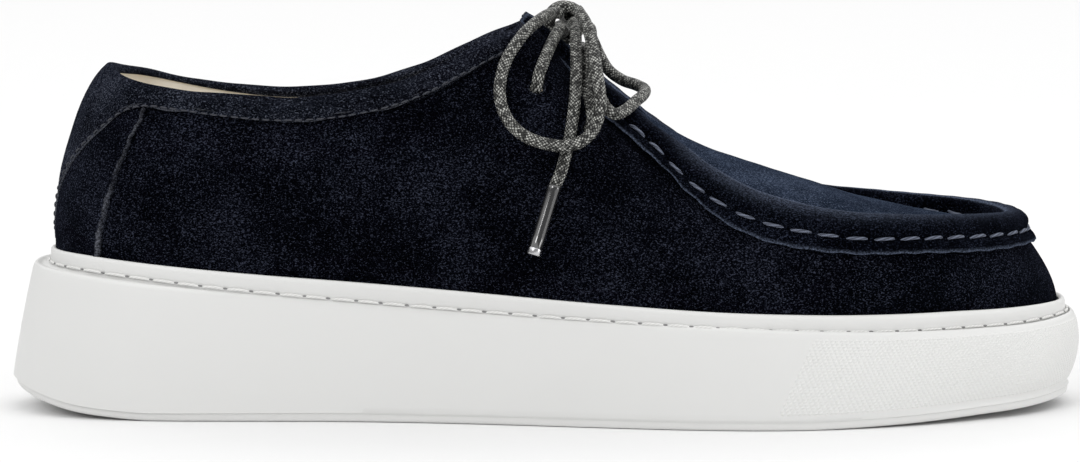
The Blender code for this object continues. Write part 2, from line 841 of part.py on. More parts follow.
def flange_point(r, side, down, out_by):
    """A point on the flange's outer face, that far below the seam and out of the upper's surface."""
    here, up, out = seam_frame(r, side)
    free = here - up * down + out * out_by
    station = SEAM_FIRST + r
    if station <= SEAM_JOIN - 1:
        return free
    s = ring_station(max(station, SEAM_JOIN), side)
    reach = float(np.linalg.norm(upper_point(s, 1.0) - upper_point(s, 0.9))) / 0.1
    near = upper_offset(s, 1.0 - down / reach, out_by)
    share = min(station - (SEAM_JOIN - 1), 1.0)
    free = free + out * FLANGE_CLEARANCE * 4 * share * (1 - share)
    if share < 1.0:
        near = near + here - seam_frame(SEAM_JOIN - SEAM_FIRST, side)[0]
    return free * (1 - share) + near * share


def plug_profile(r, side, across=4):
    """The plug's top surface at row r: flange, ridge, and then across to the crown."""
    here, up, out = seam_frame(r, side)
    flange, full, face = smooth(PLUG["flange"], r), plug_fullness(r), plug_face(r)
    points = [flange_point(r, side, flange * k, face + FACE_STEP * k * k * full) for k in (1.0, 0.5)]
    points += [here + up * a + out * b for a, b in plug_section(r)]
    end = crown_point(smooth(PLUG["crown_x"], r), smooth(PLUG["crown_y"], r))
    if SEAM_FIRST + r > TOE - 2 - 1e-6:
        end = crown_point(PLUG["crown_x"][-1], PLUG["crown_y"][-1])
    flat = unit(np.array([end[0] - points[-1][0], end[1] - points[-1][1], 0.0]))
    rise = math.radians(smooth(PLUG["rise"], r))
    leave = flat * math.cos(rise) + np.array([0, 0, math.sin(rise)])
    return points + bridge(points[-1], leave, end, crown_slope(end[0]), across)


def make_apron_tongue(look):
    last = TOE - SEAM_FIRST
    rows_at = stations(0, 6, 0.5)[:-1] + stations(6, last, 0.6)
    lateral = [plug_profile(r, -1) for r in rows_at]
    medial = [plug_profile(r, 1) for r in rows_at[:-1]]
    rows = lateral + medial[::-1]
    item = place("apron_tongue", grid_mesh("apron_tongue", rows), look)
    face_up(item.data)
    thicken(item, PLUG_THICKNESS, -1)
    shade(item, 55)


def face_up(mesh):
    """Merges the rows that meet along the crown and turns the sheet's faces up."""
    bm = bmesh.new()
    bm.from_mesh(mesh)
    weld_and_turn(bm)
    if sum(face.normal.z * face.calc_area() for face in bm.faces) < 0:
        bmesh.ops.reverse_faces(bm, faces=bm.faces)
    bm.to_mesh(mesh)
    bm.free()


def gusset_row(at, side):
    """One row of a gusset's upper face, from under the facing to just below the plug's ridge."""
    s = ring_station(smooth(GUSSET["station"], at), side)
    r = smooth(GUSSET["plug_row"], at)
    depth = -(WALL + GUSSET_GAP)
    row = [upper_offset(s, v, depth) for v in GUSSET_SHARES]
    leave = unit(row[-1] - upper_offset(s, GUSSET_SHARES[-1] - 0.03, depth))
    here, up, out = seam_frame(r, side)
    foot = here + out * (plug_section(r)[-1][1] - PLUG_THICKNESS - GUSSET_GAP)
    span = float(np.linalg.norm(foot - row[-1]))
    start = row[-1]
    for k in (1, 2, 3):
        f = k / 3
        bend = leave * span * f * (1 - f) ** 2
        row.append(start * (1 - f) ** 2 * (1 + 2 * f) + foot * f * f * (3 - 2 * f) + bend)
    return row


def make_gusset(side, look):
    """The tongue's side wing, which closes the throat under the facing."""
    name = "tongue_gusset_lateral" if side < 0 else "tongue_gusset_medial"
    rows = [gusset_row(at, side) for at in stations(0, len(GUSSET["station"]) - 1, 0.8)]
    item = place(name, grid_mesh(name, rows), look)
    face_up(item.data)
    thicken(item, TONGUE_THICKNESS, -1)
    shade(item, 55)


def shell_patch(name, rows, thickness, look):
    """A thin overlay: a sheet just outside the upper, thickened away from it."""
    mesh = grid_mesh(name, rows)
    bm = bmesh.new()
    bm.from_mesh(mesh)
    bmesh.ops.recalc_face_normals(bm, faces=bm.faces)
    bm.faces.ensure_lookup_table()
    first = bm.faces[0]
    middle = np.mean([p for row in rows for p in row], axis=0) * M
    away = np.array(first.calc_center_median()) - np.array([-0.09, 0.0, middle[2]])
    if float(np.array(first.normal) @ away) < 0:
        bmesh.ops.reverse_faces(bm, faces=bm.faces)
    bm.to_mesh(mesh)
    bm.free()
    item = place(name, mesh, look)
    thicken(item, thickness, 1)
    shade(item, 50)
    return item


def make_collar_band(look):
    stops = [0.0, 0.18, 0.45, 0.8, 1.2, 1.65, 2.05, 2.5, 3.0]
    stops += stations(3.6, BAND_END, 0.6)
    ring = [-s for s in stops[:0:-1]] + stops
    rows = []
    for s in ring:
        low = upper_share(s % (2 * TOE), along(BAND, "station", "z", abs(s)))
        rows.append([upper_offset(s, low + (BAND_TOP - low) * k / 4, OVERLAY_GAP) for k in range(5)])
    return shell_patch("collar_band", rows, BAND_THICKNESS, look)


def make_heel_counter(side, look):
    """The panel between the backstay and its own front seam, up to the collar band."""
    name = "heel_counter_lateral" if side < 0 else "heel_counter_medial"
    rows = []
    for z in stations(HEEL_PANEL_FOOT, PANEL_TOP, PANEL_STEP):
        back = float(np.interp(z, BAND["z"][:7], BAND["station"][:7])) + PANEL_MARGIN
        front = along(PANEL, "z", "station", z)
        row = []
        for k in range(5):
            station = back + (front - back) * k / 4
            s = ring_station(station, side)
            row.append(upper_offset(s, upper_share(s, z), OVERLAY_GAP))
        rows.append(row)
    return shell_patch(name, rows, PANEL_THICKNESS, look)


def make_lace(name, route, look, radius, caps=True):
    """A round lace along a smooth curve through the route's points."""
    points = []
    route = np.array(route, float)
    spans = len(route) - 1
    per_span = max(1, round(float(np.linalg.norm(np.diff(route, axis=0), axis=1).mean()) / LACE_STEP))
    for i in range(spans * per_span + 1):
        points.append(smooth(route, i / per_span))
    curve = bpy.data.curves.new(name, "CURVE")
    curve.dimensions = "3D"
    curve.bevel_depth = radius * M
    curve.bevel_resolution = 2
    curve.use_fill_caps = caps
    spline = curve.splines.new("POLY")
    spline.points.add(len(points) - 1)
    for target, p in zip(spline.points, points):
        target.co = (p[0] * M, p[1] * M, p[2] * M, 1.0)
    item = bpy.data.objects.new(name, curve)
    shoe.objects.link(item)
    curve.materials.append(look)
    return item


def make_bars(look):
    """The lace's crossings: over the tongue at the lower eyelets, and up to the knot from the upper ones."""
    radius = LACE_DIAMETER / 2
    low_a, out_a = eyelet_frame("lower", -1)
    low_b, out_b = eyelet_frame("lower", 1)
    route = [low_a - out_a * 1.6, low_a + out_a * 1.6, low_a + out_a * 3.4 + BAR_LEAD]
    route += [np.array(p) for p in BAR_OVER]
    route += [low_b + out_b * 3.4 + BAR_LEAD * MIRROR, low_b + out_b * 1.6, low_b - out_b * 1.6]
    make_lace("lace_bar", route, look, radius)
    top_a, out_a = eyelet_frame("upper", -1)
    top_b, out_b = eyelet_frame("upper", 1)
    route = [top_a - out_a * 1.6, top_a + out_a * 1.4, top_a + out_a * 3.0 + STRAND_LEAD]
    route += [np.array(p) for p in STRAND_OVER]
    route += [top_b + out_b * 3.0 + STRAND_LEAD * MIRROR, top_b + out_b * 1.4, top_b - out_b * 1.6]
    make_lace("lace_strands", route, look, radius)


def make_knot(look):
    bm = bmesh.new()
    bmesh.ops.create_uvsphere(bm, u_segments=14, v_segments=8, radius=1.0)
    for v in bm.verts:
        v.co = [(centre + c * radius) * M for centre, c, radius in zip(KNOT, v.co, KNOT_RADII)]
    mesh = bpy.data.meshes.new("lace_knot")
    bm.to_mesh(mesh)
    bm.free()
    shade(place("lace_knot", mesh, look), 60)


def make_aglet(name, start, tip, look):
    """A straight tube on the lace's end, from just past the lace to the tip."""
    a, b = np.array(start, float), np.array(tip, float)
    way = unit(b - a)
    make_lace(name, [a + way * AGLET_GAP, a + way * (AGLET_GAP + AGLET_LENGTH)], look, AGLET_DIAMETER / 2)


def main():
    global shoe, cutters
    clear_scene()
    shoe = new_collection("moccasin_shoe")
    cutters = new_collection("cutters")
    rubber = material("white_rubber", (0.86, 0.86, 0.85), 0.45)
    suede = material("navy_suede", (0.012, 0.016, 0.035), 0.95)
    plug = material("navy_suede_plug", (0.013, 0.018, 0.038), 0.95)
    trim = material("navy_suede_trim", (0.014, 0.017, 0.03), 0.95)
    panel = material("navy_suede_panel", (0.012, 0.015, 0.03), 0.95)
    cream = material("cream_leather", (0.74, 0.66, 0.53), 0.6)
    cord = material("waxed_lace", (0.045, 0.047, 0.043), 0.4)
    tip = material("aglet_plastic", (0.01, 0.01, 0.01), 0.15)
    make_cupsole(rubber)
    make_insole(cream)
    make_upper(suede)
    make_apron_tongue(plug)
    make_gusset(-1, plug)
    make_gusset(1, plug)
    make_collar_band(trim)
    make_heel_counter(-1, panel)
    make_heel_counter(1, panel)
    make_bars(cord)
    make_knot(cord)
    radius = LACE_DIAMETER / 2
    make_lace("lace_loop_lateral", LOOP_LATERAL, cord, radius)
    make_lace("lace_loop_medial", LOOP_MEDIAL, cord, radius)
    make_lace("lace_end_lateral", END_LATERAL, cord, radius)
    make_lace("lace_end_medial", END_MEDIAL, cord, radius)
    make_aglet("aglet_lateral", END_LATERAL[-1], AGLET_TIP_LATERAL, tip)
    make_aglet("aglet_medial", END_MEDIAL[-1], AGLET_TIP_MEDIAL, tip)


main()
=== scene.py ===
"""The looks of a moccasin lace-up shoe: suede, hand-sewn seams, collar, lining, cup sole and waxed lace.

Frame: +X runs from heel to toe, -Y is the outer (lateral) side, +Z is up, and the floor is z = 0.
Tables and shape constants are in millimetres, and M turns them into metres where the meshes are made.
Every upper surface is read from one ring of stations: station 0 is the back of the heel, the numbers rise
along the lateral side to the toe tip at station TOE and go on along the medial side to 2 * TOE.
"""

import json
import math

import bmesh
import bpy
import numpy as np
from mathutils import Vector
from mathutils.bvhtree import BVHTree
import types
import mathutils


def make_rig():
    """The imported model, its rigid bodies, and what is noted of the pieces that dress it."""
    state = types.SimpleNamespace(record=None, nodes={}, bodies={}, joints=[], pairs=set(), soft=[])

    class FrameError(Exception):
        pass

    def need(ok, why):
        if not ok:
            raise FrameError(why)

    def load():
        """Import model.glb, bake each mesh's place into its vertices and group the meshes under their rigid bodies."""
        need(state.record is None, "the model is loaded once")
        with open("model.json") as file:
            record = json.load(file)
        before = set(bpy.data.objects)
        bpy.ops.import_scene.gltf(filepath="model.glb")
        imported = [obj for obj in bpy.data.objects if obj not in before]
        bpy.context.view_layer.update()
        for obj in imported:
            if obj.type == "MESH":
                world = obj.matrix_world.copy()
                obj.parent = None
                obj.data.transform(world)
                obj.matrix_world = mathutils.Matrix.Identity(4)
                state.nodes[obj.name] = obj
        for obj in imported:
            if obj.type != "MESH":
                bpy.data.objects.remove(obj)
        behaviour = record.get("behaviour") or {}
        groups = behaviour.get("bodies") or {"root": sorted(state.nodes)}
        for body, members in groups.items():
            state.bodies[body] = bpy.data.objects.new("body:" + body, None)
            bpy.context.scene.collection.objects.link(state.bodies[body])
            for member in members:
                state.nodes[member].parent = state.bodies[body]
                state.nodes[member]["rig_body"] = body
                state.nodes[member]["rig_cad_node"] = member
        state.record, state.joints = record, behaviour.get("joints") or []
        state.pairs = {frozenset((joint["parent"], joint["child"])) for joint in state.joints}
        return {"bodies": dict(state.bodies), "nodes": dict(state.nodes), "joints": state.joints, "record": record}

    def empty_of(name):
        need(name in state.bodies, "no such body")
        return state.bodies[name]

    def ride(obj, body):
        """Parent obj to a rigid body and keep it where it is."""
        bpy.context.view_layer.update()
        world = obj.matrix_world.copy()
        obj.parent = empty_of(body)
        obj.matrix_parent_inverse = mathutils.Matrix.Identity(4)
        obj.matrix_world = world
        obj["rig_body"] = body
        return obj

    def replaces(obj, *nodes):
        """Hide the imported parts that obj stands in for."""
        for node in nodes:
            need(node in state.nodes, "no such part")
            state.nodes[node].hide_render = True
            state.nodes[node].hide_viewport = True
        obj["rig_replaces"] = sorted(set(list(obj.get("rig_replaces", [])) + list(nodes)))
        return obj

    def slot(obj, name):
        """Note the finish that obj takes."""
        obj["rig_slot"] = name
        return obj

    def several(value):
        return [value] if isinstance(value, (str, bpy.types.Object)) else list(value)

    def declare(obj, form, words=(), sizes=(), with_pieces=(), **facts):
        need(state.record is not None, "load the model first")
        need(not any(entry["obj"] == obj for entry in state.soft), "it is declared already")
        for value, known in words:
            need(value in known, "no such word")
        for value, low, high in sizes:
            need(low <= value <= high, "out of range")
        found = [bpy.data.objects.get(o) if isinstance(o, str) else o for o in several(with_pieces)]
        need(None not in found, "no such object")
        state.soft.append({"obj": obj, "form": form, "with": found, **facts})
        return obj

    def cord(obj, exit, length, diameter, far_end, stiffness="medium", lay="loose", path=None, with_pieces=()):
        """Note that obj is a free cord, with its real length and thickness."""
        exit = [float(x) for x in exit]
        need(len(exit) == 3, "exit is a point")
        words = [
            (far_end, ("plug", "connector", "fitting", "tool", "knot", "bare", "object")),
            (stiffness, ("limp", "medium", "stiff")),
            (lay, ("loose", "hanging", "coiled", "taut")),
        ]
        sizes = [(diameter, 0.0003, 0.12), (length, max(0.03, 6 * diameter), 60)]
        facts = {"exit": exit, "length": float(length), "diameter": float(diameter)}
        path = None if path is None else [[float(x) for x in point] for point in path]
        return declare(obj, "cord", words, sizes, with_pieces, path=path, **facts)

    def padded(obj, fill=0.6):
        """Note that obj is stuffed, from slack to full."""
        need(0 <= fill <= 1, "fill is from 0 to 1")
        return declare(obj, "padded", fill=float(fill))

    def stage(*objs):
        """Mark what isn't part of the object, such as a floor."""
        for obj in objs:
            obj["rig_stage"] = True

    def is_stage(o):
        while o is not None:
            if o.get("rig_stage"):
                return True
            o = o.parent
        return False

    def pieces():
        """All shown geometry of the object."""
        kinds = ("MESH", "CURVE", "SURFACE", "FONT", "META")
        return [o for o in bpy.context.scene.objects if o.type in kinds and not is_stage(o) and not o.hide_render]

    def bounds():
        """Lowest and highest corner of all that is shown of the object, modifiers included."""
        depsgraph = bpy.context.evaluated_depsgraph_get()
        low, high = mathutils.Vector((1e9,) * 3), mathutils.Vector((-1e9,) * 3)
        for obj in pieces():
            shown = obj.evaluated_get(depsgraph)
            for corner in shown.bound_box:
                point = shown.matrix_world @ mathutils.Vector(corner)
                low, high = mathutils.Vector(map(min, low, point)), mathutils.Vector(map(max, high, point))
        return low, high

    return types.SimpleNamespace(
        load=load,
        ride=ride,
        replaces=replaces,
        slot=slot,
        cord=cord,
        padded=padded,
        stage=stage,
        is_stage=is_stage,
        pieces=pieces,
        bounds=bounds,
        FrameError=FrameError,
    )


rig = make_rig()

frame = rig.load()
CAD_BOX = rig.bounds()

bl_info = {
    "name": "Moccasin Shoe Looks",
    "version": (1, 0, 0),
    "blender": (4, 5, 0),
    "location": "3D View > Sidebar > Moccasin",
    "description": "Builds the suede upper, plug, seams, lace and cup sole of a moccasin lace-up shoe",
    "category": "Object",
}

M = 0.001
WELD = 0.003
BODY = "root"
SIDES = ((-1, "lateral"), (1, "medial"))
UP = np.array([0.0, 0.0, 1.0])
LEVEL = np.array([1.0, 1.0, 0.0])

# Sizes that the pieces share with the shoe's solid model, in millimetres. HANDLE is how far the control
# points of the upper's side curves lie from their ends, as a share of the curve's reach.
WALL = 2.0
GAP = 0.3
CUP_GAP = 0.65
GUSSET_GAP = 1.2
WALL_START = 5.2
RIM_STEP = 0.5
INSOLE_THICKNESS = 4.5
PLUG_THICKNESS = 1.8
FLANGE_OUT = 2.1
TONGUE_THICKNESS = 1.8
EYELET_RADIUS = 2.15
AGLET_DIAMETER = 3.9
AGLET_LENGTH = 18.5
AGLET_GAP = 0.8
GROOVE_WIDTH = 3.0
GROOVE_DEPTH = 1.6
HANDLE = 0.36


# ---------------------------------------------------------------- tables of the shoe's form, in millimetres


def table(names, rows):
    """A dictionary with one numpy column for each name."""
    return dict(zip(names.split(), np.array(rows, float).T))


# Bottom edge of the sole, a row for each station: x, then the half widths of both sides, how far the
# wall's top lies in from that edge, and how far it swells between.
SOLE = table(
    "x lateral medial top_in swell",
    [
        (-153.2, 0.0, 0.0, 7.0, 0.4),
        (-149.6, 14.0, 14.0, 5.2, 0.4),
        (-141.5, 24.8, 24.8, 3.6, 0.3),
        (-126.0, 32.4, 32.2, 2.6, 0.3),
        (-105.0, 35.7, 35.0, 2.0, 0.3),
        (-80.0, 36.3, 34.4, 1.8, 0.3),
        (-54.0, 36.9, 32.8, 1.8, 0.3),
        (-30.0, 39.5, 32.9, 1.8, 0.3),
        (-8.0, 43.3, 35.7, 1.8, 0.3),
        (10.0, 46.9, 39.6, 1.8, 0.3),
        (24.0, 49.6, 43.2, 1.8, 0.3),
        (36.0, 51.6, 46.4, 1.8, 0.3),
        (47.0, 52.8, 49.2, 1.8, 0.3),
        (58.0, 53.4, 51.5, 1.8, 0.3),
        (69.0, 52.8, 52.9, 1.8, 0.3),
        (80.0, 51.0, 53.4, 1.7, 0.3),
        (91.0, 48.0, 52.8, 1.5, 0.4),
        (102.0, 44.0, 50.8, 1.2, 0.6),
        (112.0, 39.3, 47.7, 0.7, 0.9),
        (121.5, 33.8, 43.6, 0.2, 1.1),
        (133.0, 26.6, 38.0, -0.1, 1.3),
        (142.6, 17.4, 30.2, -0.2, 1.4),
        (149.6, 5.4, 20.0, -0.2, 1.8),
        (151.6, -7.3, 7.3, -0.2, 2.0),
    ],
)
TOE = len(SOLE["x"]) - 1

# Heights along the sole: the bottom's lift off the floor, the wall's top edge, the lip's top and the
# cup's inside floor.
HEIGHTS = table(
    "x lift wall lip floor",
    [
        (-153.0, 6.6, 42.0, 45.9, 33.0),
        (-144.0, 4.2, 41.6, 45.7, 33.0),
        (-136.0, 2.3, 40.8, 45.0, 33.0),
        (-121.0, 0.6, 39.4, 43.7, 32.8),
        (-112.0, 0.0, 38.5, 43.0, 32.4),
        (-75.0, 0.0, 35.4, 40.4, 30.0),
        (-52.0, 0.0, 33.7, 39.0, 27.5),
        (-25.0, 0.0, 31.9, 37.3, 24.4),
        (0.0, 0.0, 30.5, 35.6, 22.2),
        (34.0, 0.0, 29.0, 33.6, 20.7),
        (73.0, 0.0, 27.3, 31.8, 20.3),
        (95.0, 0.5, 26.5, 31.2, 20.5),
        (120.0, 1.5, 26.2, 31.0, 21.2),
        (138.0, 2.4, 26.4, 30.8, 21.8),
        (153.0, 3.7, 27.4, 30.8, 22.2),
    ],
)

# The upper's outer surface, a row for each station: its foot on the cup's floor, the flare there (degrees
# outwards), its top edge and the lean there (degrees inwards). Rows 0 to 10 are the collar, 11 to 13 the
# facing's front edge and 14 to the last the seam under the plug's ridge.
UPPER = table(
    "foot_x foot_lateral foot_medial flare x lateral medial z lean",
    [
        (-138.6, 0.0, 0.0, 7, -124.2, 0.0, 0.0, 97.7, 37),
        (-135.8, 12.6, 12.6, 7, -121.4, 9.0, 9.0, 97.0, 33),
        (-128.2, 21.8, 21.8, 7, -115.0, 18.2, 18.2, 95.7, 26),
        (-115.0, 27.3, 27.1, 8, -103.5, 24.8, 24.8, 93.0, 17),
        (-97.0, 30.2, 29.6, 9, -90.0, 29.0, 28.8, 91.0, 11),
        (-76.0, 31.1, 29.0, 10, -72.0, 31.8, 31.2, 89.9, 9),
        (-53.0, 31.5, 27.4, 12, -54.0, 32.0, 31.3, 91.5, 11),
        (-30.0, 33.7, 27.3, 13, -37.0, 31.0, 30.3, 95.8, 16),
        (-8.0, 37.1, 29.9, 13, -23.0, 28.2, 27.5, 102.5, 26),
        (9.0, 40.6, 33.7, 12, -12.0, 22.8, 22.4, 107.5, 38),
        (22.0, 43.2, 37.0, 11, -3.8, 15.0, 15.0, 109.3, 52),
        (33.0, 45.1, 40.0, 10, 4.6, 18.5, 18.5, 99.8, 48),
        (43.0, 46.3, 42.7, 9, 9.5, 24.3, 24.3, 90.5, 46),
        (53.0, 46.9, 45.0, 8, 17.5, 26.8, 26.8, 83.7, 46),
        (63.0, 46.6, 46.5, 7, 28.7, 27.2, 27.2, 78.7, 44),
        (74.0, 45.3, 47.2, 6, 41.2, 35.3, 35.3, 68.9, 37),
        (85.0, 42.9, 47.0, 6, 54.5, 41.2, 41.8, 61.5, 29),
        (96.0, 39.4, 45.5, 6, 69.0, 44.1, 45.3, 57.4, 23),
        (106.0, 35.3, 43.0, 6, 84.1, 42.6, 45.9, 54.9, 21),
        (116.0, 29.8, 39.0, 6, 98.9, 37.2, 43.0, 54.0, 23),
        (127.2, 23.6, 34.6, 7, 112.8, 29.2, 38.4, 53.3, 27),
        (137.2, 15.0, 27.8, 11, 126.4, 17.6, 30.4, 52.7, 31),
        (144.4, 4.4, 18.6, 16, 133.2, 5.4, 19.8, 52.3, 35),
        (146.4, -7.3, 7.3, 19, 135.2, -7.3, 7.3, 52.1, 37),
    ],
)

# The plug's seam, a row for each station from SEAM_FIRST at the tongue's tip to the toe: the seam's place
# and lean, the ridge's height, the point of the crown that the row runs to and the angle at which the plug
# leaves the ridge. From station SEAM_JOIN on, the seam is the upper's own top edge, and the rows' places
# and leans aren't read.
SEAM_JOIN = 14
SEAM_FIRST = 9
SEAM_FACE = 0.4
PLUG = table(
    "x half z lean ridge crown_x crown_y rise",
    [
        (-6.5, 8.6, 111.3, 60, 1.4, -5.5, 0.0, 8),
        (1.0, 11.8, 105.6, 60, 2.2, 4.0, 0.0, 8),
        (9.0, 15.8, 96.5, 60, 3.4, 14.0, 0.0, 8),
        (15.0, 18.6, 90.4, 56, 4.4, 22.0, 0.0, 6),
        (21.4, 21.8, 84.7, 51, 4.6, 30.0, 0.0, 8),
        (28.7, 27.2, 78.7, 44, 4.6, 39.0, 0.0, 14),
        (41.2, 35.3, 68.9, 37, 4.6, 53.0, 0.3, 24),
        (54.5, 41.5, 61.5, 29, 4.6, 66.0, 0.7, 30),
        (69.0, 44.7, 57.4, 23, 4.6, 79.0, 1.4, 30),
        (84.1, 44.2, 54.9, 21, 4.6, 91.0, 2.4, 24),
        (98.9, 40.1, 54.0, 23, 4.6, 101.0, 3.5, 14),
        (113.0, 34.0, 53.5, 26, 4.6, 108.0, 4.5, 7),
        (125.6, 24.5, 53.1, 28, 4.6, 112.0, 5.2, 5),
        (133.9, 12.5, 52.8, 30, 4.6, 112.0, 5.2, 5),
        (136.8, 0.0, 52.7, 31, 4.6, 112.0, 5.2, 5),
    ],
)

# The plug's and tongue's crown, seen from the side.
CROWN = table(
    "x z",
    [
        (-9.0, 115.4),
        (-5.5, 112.0),
        (4.0, 104.6),
        (11.0, 97.1),
        (17.0, 91.9),
        (24.0, 86.4),
        (30.0, 82.1),
        (36.0, 78.6),
        (44.0, 74.8),
        (55.0, 70.7),
        (66.0, 67.3),
        (79.0, 63.1),
        (92.0, 59.1),
        (102.0, 56.7),
        (112.0, 54.9),
        (120.0, 53.7),
    ],
)

# The tongue's gussets under the facings: the ring station of each row and the plug row that it joins, and
# the shares of the side's height between which they lie against it.
GUSSET = table(
    "station plug_row",
    [
        (9.5, 0.0),
        (10.1, 0.7),
        (10.7, 1.5),
        (11.3, 2.2),
        (12.0, 2.9),
        (12.7, 3.6),
        (13.3, 4.2),
    ],
)
GUSSET_SHARES = (0.80, 0.975)

# The collar band's lower edge: ring stations from the middle of the heel, and the edge's height there.
BAND = table(
    "station z",
    [
        (0.0, 47.6),
        (0.18, 53.0),
        (0.45, 61.0),
        (0.8, 68.5),
        (1.2, 74.5),
        (1.65, 80.2),
        (2.05, 84.6),
        (2.5, 86.6),
        (3.0, 86.3),
        (4.0, 84.7),
        (5.0, 83.5),
        (6.0, 85.0),
        (7.0, 89.4),
        (8.0, 96.4),
        (8.8, 101.0),
        (9.5, 104.2),
    ],
)

# The heel panel's front seam: heights, and the seam's ring station there.
PANEL = table(
    "z station",
    [
        (47.0, 2.22),
        (55.0, 2.24),
        (62.0, 2.28),
        (70.0, 2.34),
        (77.0, 2.41),
        (83.5, 2.5),
    ],
)

# Eyelets: ring station and the height of the hole on the outer face.
EYELETS = {"upper": (9.62, 92.8), "lower": (11.1, 81.5)}

# Grooves across the tread: each one's x, and how far they all stop short of the sole's edge.
GROOVES = [-124, -110, -96, -82, 14, 28, 42, 56, 70, 84, 98]
GROOVE_MARGIN = 11.0

# Routes of the lace. The bar passes over the tongue between the lower eyelets and the strands between the
# upper ones; each starts at its LEAD, measured from the thread's way out of the eyelet. The loops and ends
# go on from the knot.
BAR_LEAD = np.array([-0.4, 2.6, 3.0])
STRAND_LEAD = np.array([0.8, 2.6, 3.4])
MIRROR = np.array([1.0, -1.0, 1.0])
BAR_OVER = [
    (10.8, -26.0, 93.4),
    (10.4, -20.4, 98.4),
    (10.2, -15.2, 101.7),
    (10.2, -7.0, 101.1),
    (10.2, 7.0, 101.1),
    (10.2, 15.2, 101.7),
    (10.4, 20.4, 98.4),
    (10.8, 26.0, 93.4),
]
STRAND_OVER = [
    (1.4, -20.0, 104.6),
    (3.6, -12.0, 108.0),
    (4.6, -5.0, 107.2),
    (4.6, 5.0, 107.2),
    (3.6, 12.0, 108.0),
    (1.4, 20.0, 104.6),
]
LOOP_LATERAL = [
    (1.2, -8.2, 112.4),
    (-2.2, -18.0, 110.9),
    (-6.8, -27.2, 107.0),
    (-11.0, -33.8, 100.8),
    (-12.8, -38.4, 94.4),
    (-12.4, -41.6, 88.6),
    (-9.8, -43.8, 83.6),
    (-5.2, -45.2, 80.0),
    (0.4, -45.8, 78.2),
    (5.8, -45.4, 77.8),
    (10.6, -43.8, 79.6),
    (13.6, -41.2, 83.6),
    (14.7, -40.0, 89.2),
    (14.1, -35.2, 95.6),
    (12.9, -27.4, 103.0),
    (11.2, -17.8, 109.6),
    (8.8, -9.6, 113.4),
]
LOOP_MEDIAL = [
    (9.8, 4.4, 110.2),
    (12.9, 6.0, 105.0),
    (15.2, 6.2, 100.0),
    (17.8, 4.0, 95.8),
    (21.6, -0.4, 93.2),
    (25.2, -5.8, 92.2),
    (27.6, -12.0, 91.2),
    (27.0, -18.2, 90.0),
    (24.8, -23.8, 88.6),
    (22.0, -29.0, 86.6),
    (19.0, -33.0, 85.6),
    (16.4, -34.8, 87.4),
    (14.8, -33.8, 90.4),
    (13.7, -31.6, 93.0),
    (12.9, -28.4, 95.9),
    (12.5, -24.6, 99.2),
    (12.3, -20.4, 102.6),
    (12.5, -15.2, 105.9),
    (12.3, -10.0, 108.2),
    (11.0, -6.8, 109.0),
    (9.8, -4.6, 109.6),
]
END_LATERAL = [
    (8.2, -9.6, 108.2),
    (8.2, -13.6, 106.6),
    (8.2, -20.4, 103.0),
    (8.2, -28.0, 96.4),
    (7.6, -35.2, 88.0),
    (6.2, -40.6, 79.4),
    (4.2, -44.4, 71.6),
    (2.0, -46.6, 66.4),
]
AGLET_TIP_LATERAL = (-3.6, -49.8, 48.4)
END_MEDIAL = [
    (6.4, 8.2, 112.2),
    (5.6, 14.6, 111.4),
    (5.2, 22.2, 107.6),
    (5.0, 29.8, 100.6),
    (4.8, 36.2, 91.4),
    (4.6, 41.2, 81.2),
    (4.4, 44.4, 72.2),
    (4.0, 46.2, 66.0),
]
AGLET_TIP_MEDIAL = (3.0, 49.0, 47.8)


# ---------------------------------------------------------------- curves and surfaces read from the tables


def spline(values, at, wrap=False):
    """Catmull-Rom through rows at 0, 1, 2 and so on, straight past both ends unless it wraps round."""
    values = np.asarray(values, float)
    at = np.asarray(at, float)
    count = len(values)
    k = np.floor(at).astype(int)
    if wrap:
        p0, p1, p2, p3 = (values[(k + i) % count] for i in (-1, 0, 1, 2))
    else:
        k = np.clip(k, 0, count - 2)
        longer = np.concatenate([[2 * values[0] - values[1]], values, [2 * values[-1] - values[-2]]])
        p0, p1, p2, p3 = (longer[k + i] for i in (0, 1, 2, 3))
    f = at - k
    if values.ndim > 1:
        f = f[..., None]
    b = p2 - p0
    c = 2 * p0 - 5 * p1 + 4 * p2 - p3
    d = 3 * p1 - p0 - 3 * p2 + p3
    return 0.5 * (2 * p1 + b * f + c * f * f + d * f**3)


def along(columns, key, name, at):
    """A column's value where the key column equals at, on a curve through the rows."""
    keys, values = columns[key], columns[name]
    at = np.clip(np.asarray(at, float), keys[0], keys[-1])
    k = np.clip(np.searchsorted(keys, at, side="right") - 1, 0, len(keys) - 2)
    h = keys[k + 1] - keys[k]
    f = (at - keys[k]) / h
    slopes = np.gradient(values, keys)
    rise = values[k] * (1 + 2 * f) * (1 - f) ** 2 + values[k + 1] * f * f * (3 - 2 * f)
    return rise + h * (slopes[k] * f * (1 - f) ** 2 - slopes[k + 1] * f * f * (1 - f))


def ring_column(lateral, medial):
    """Rows of the lateral side, heel to toe, and then of the medial side, toe to heel."""
    return np.concatenate([lateral, medial[-2:0:-1]])


def ring_line(columns, x, lateral, medial):
    """The x and y ring columns of one outline."""
    return ring_column(columns[x], columns[x]), ring_column(-columns[lateral], columns[medial])


SOLE_LINE = ring_line(SOLE, "x", "lateral", "medial")
FOOT_LINE = ring_line(UPPER, "foot_x", "foot_lateral", "foot_medial")
TOP_LINE = ring_line(UPPER, "x", "lateral", "medial")
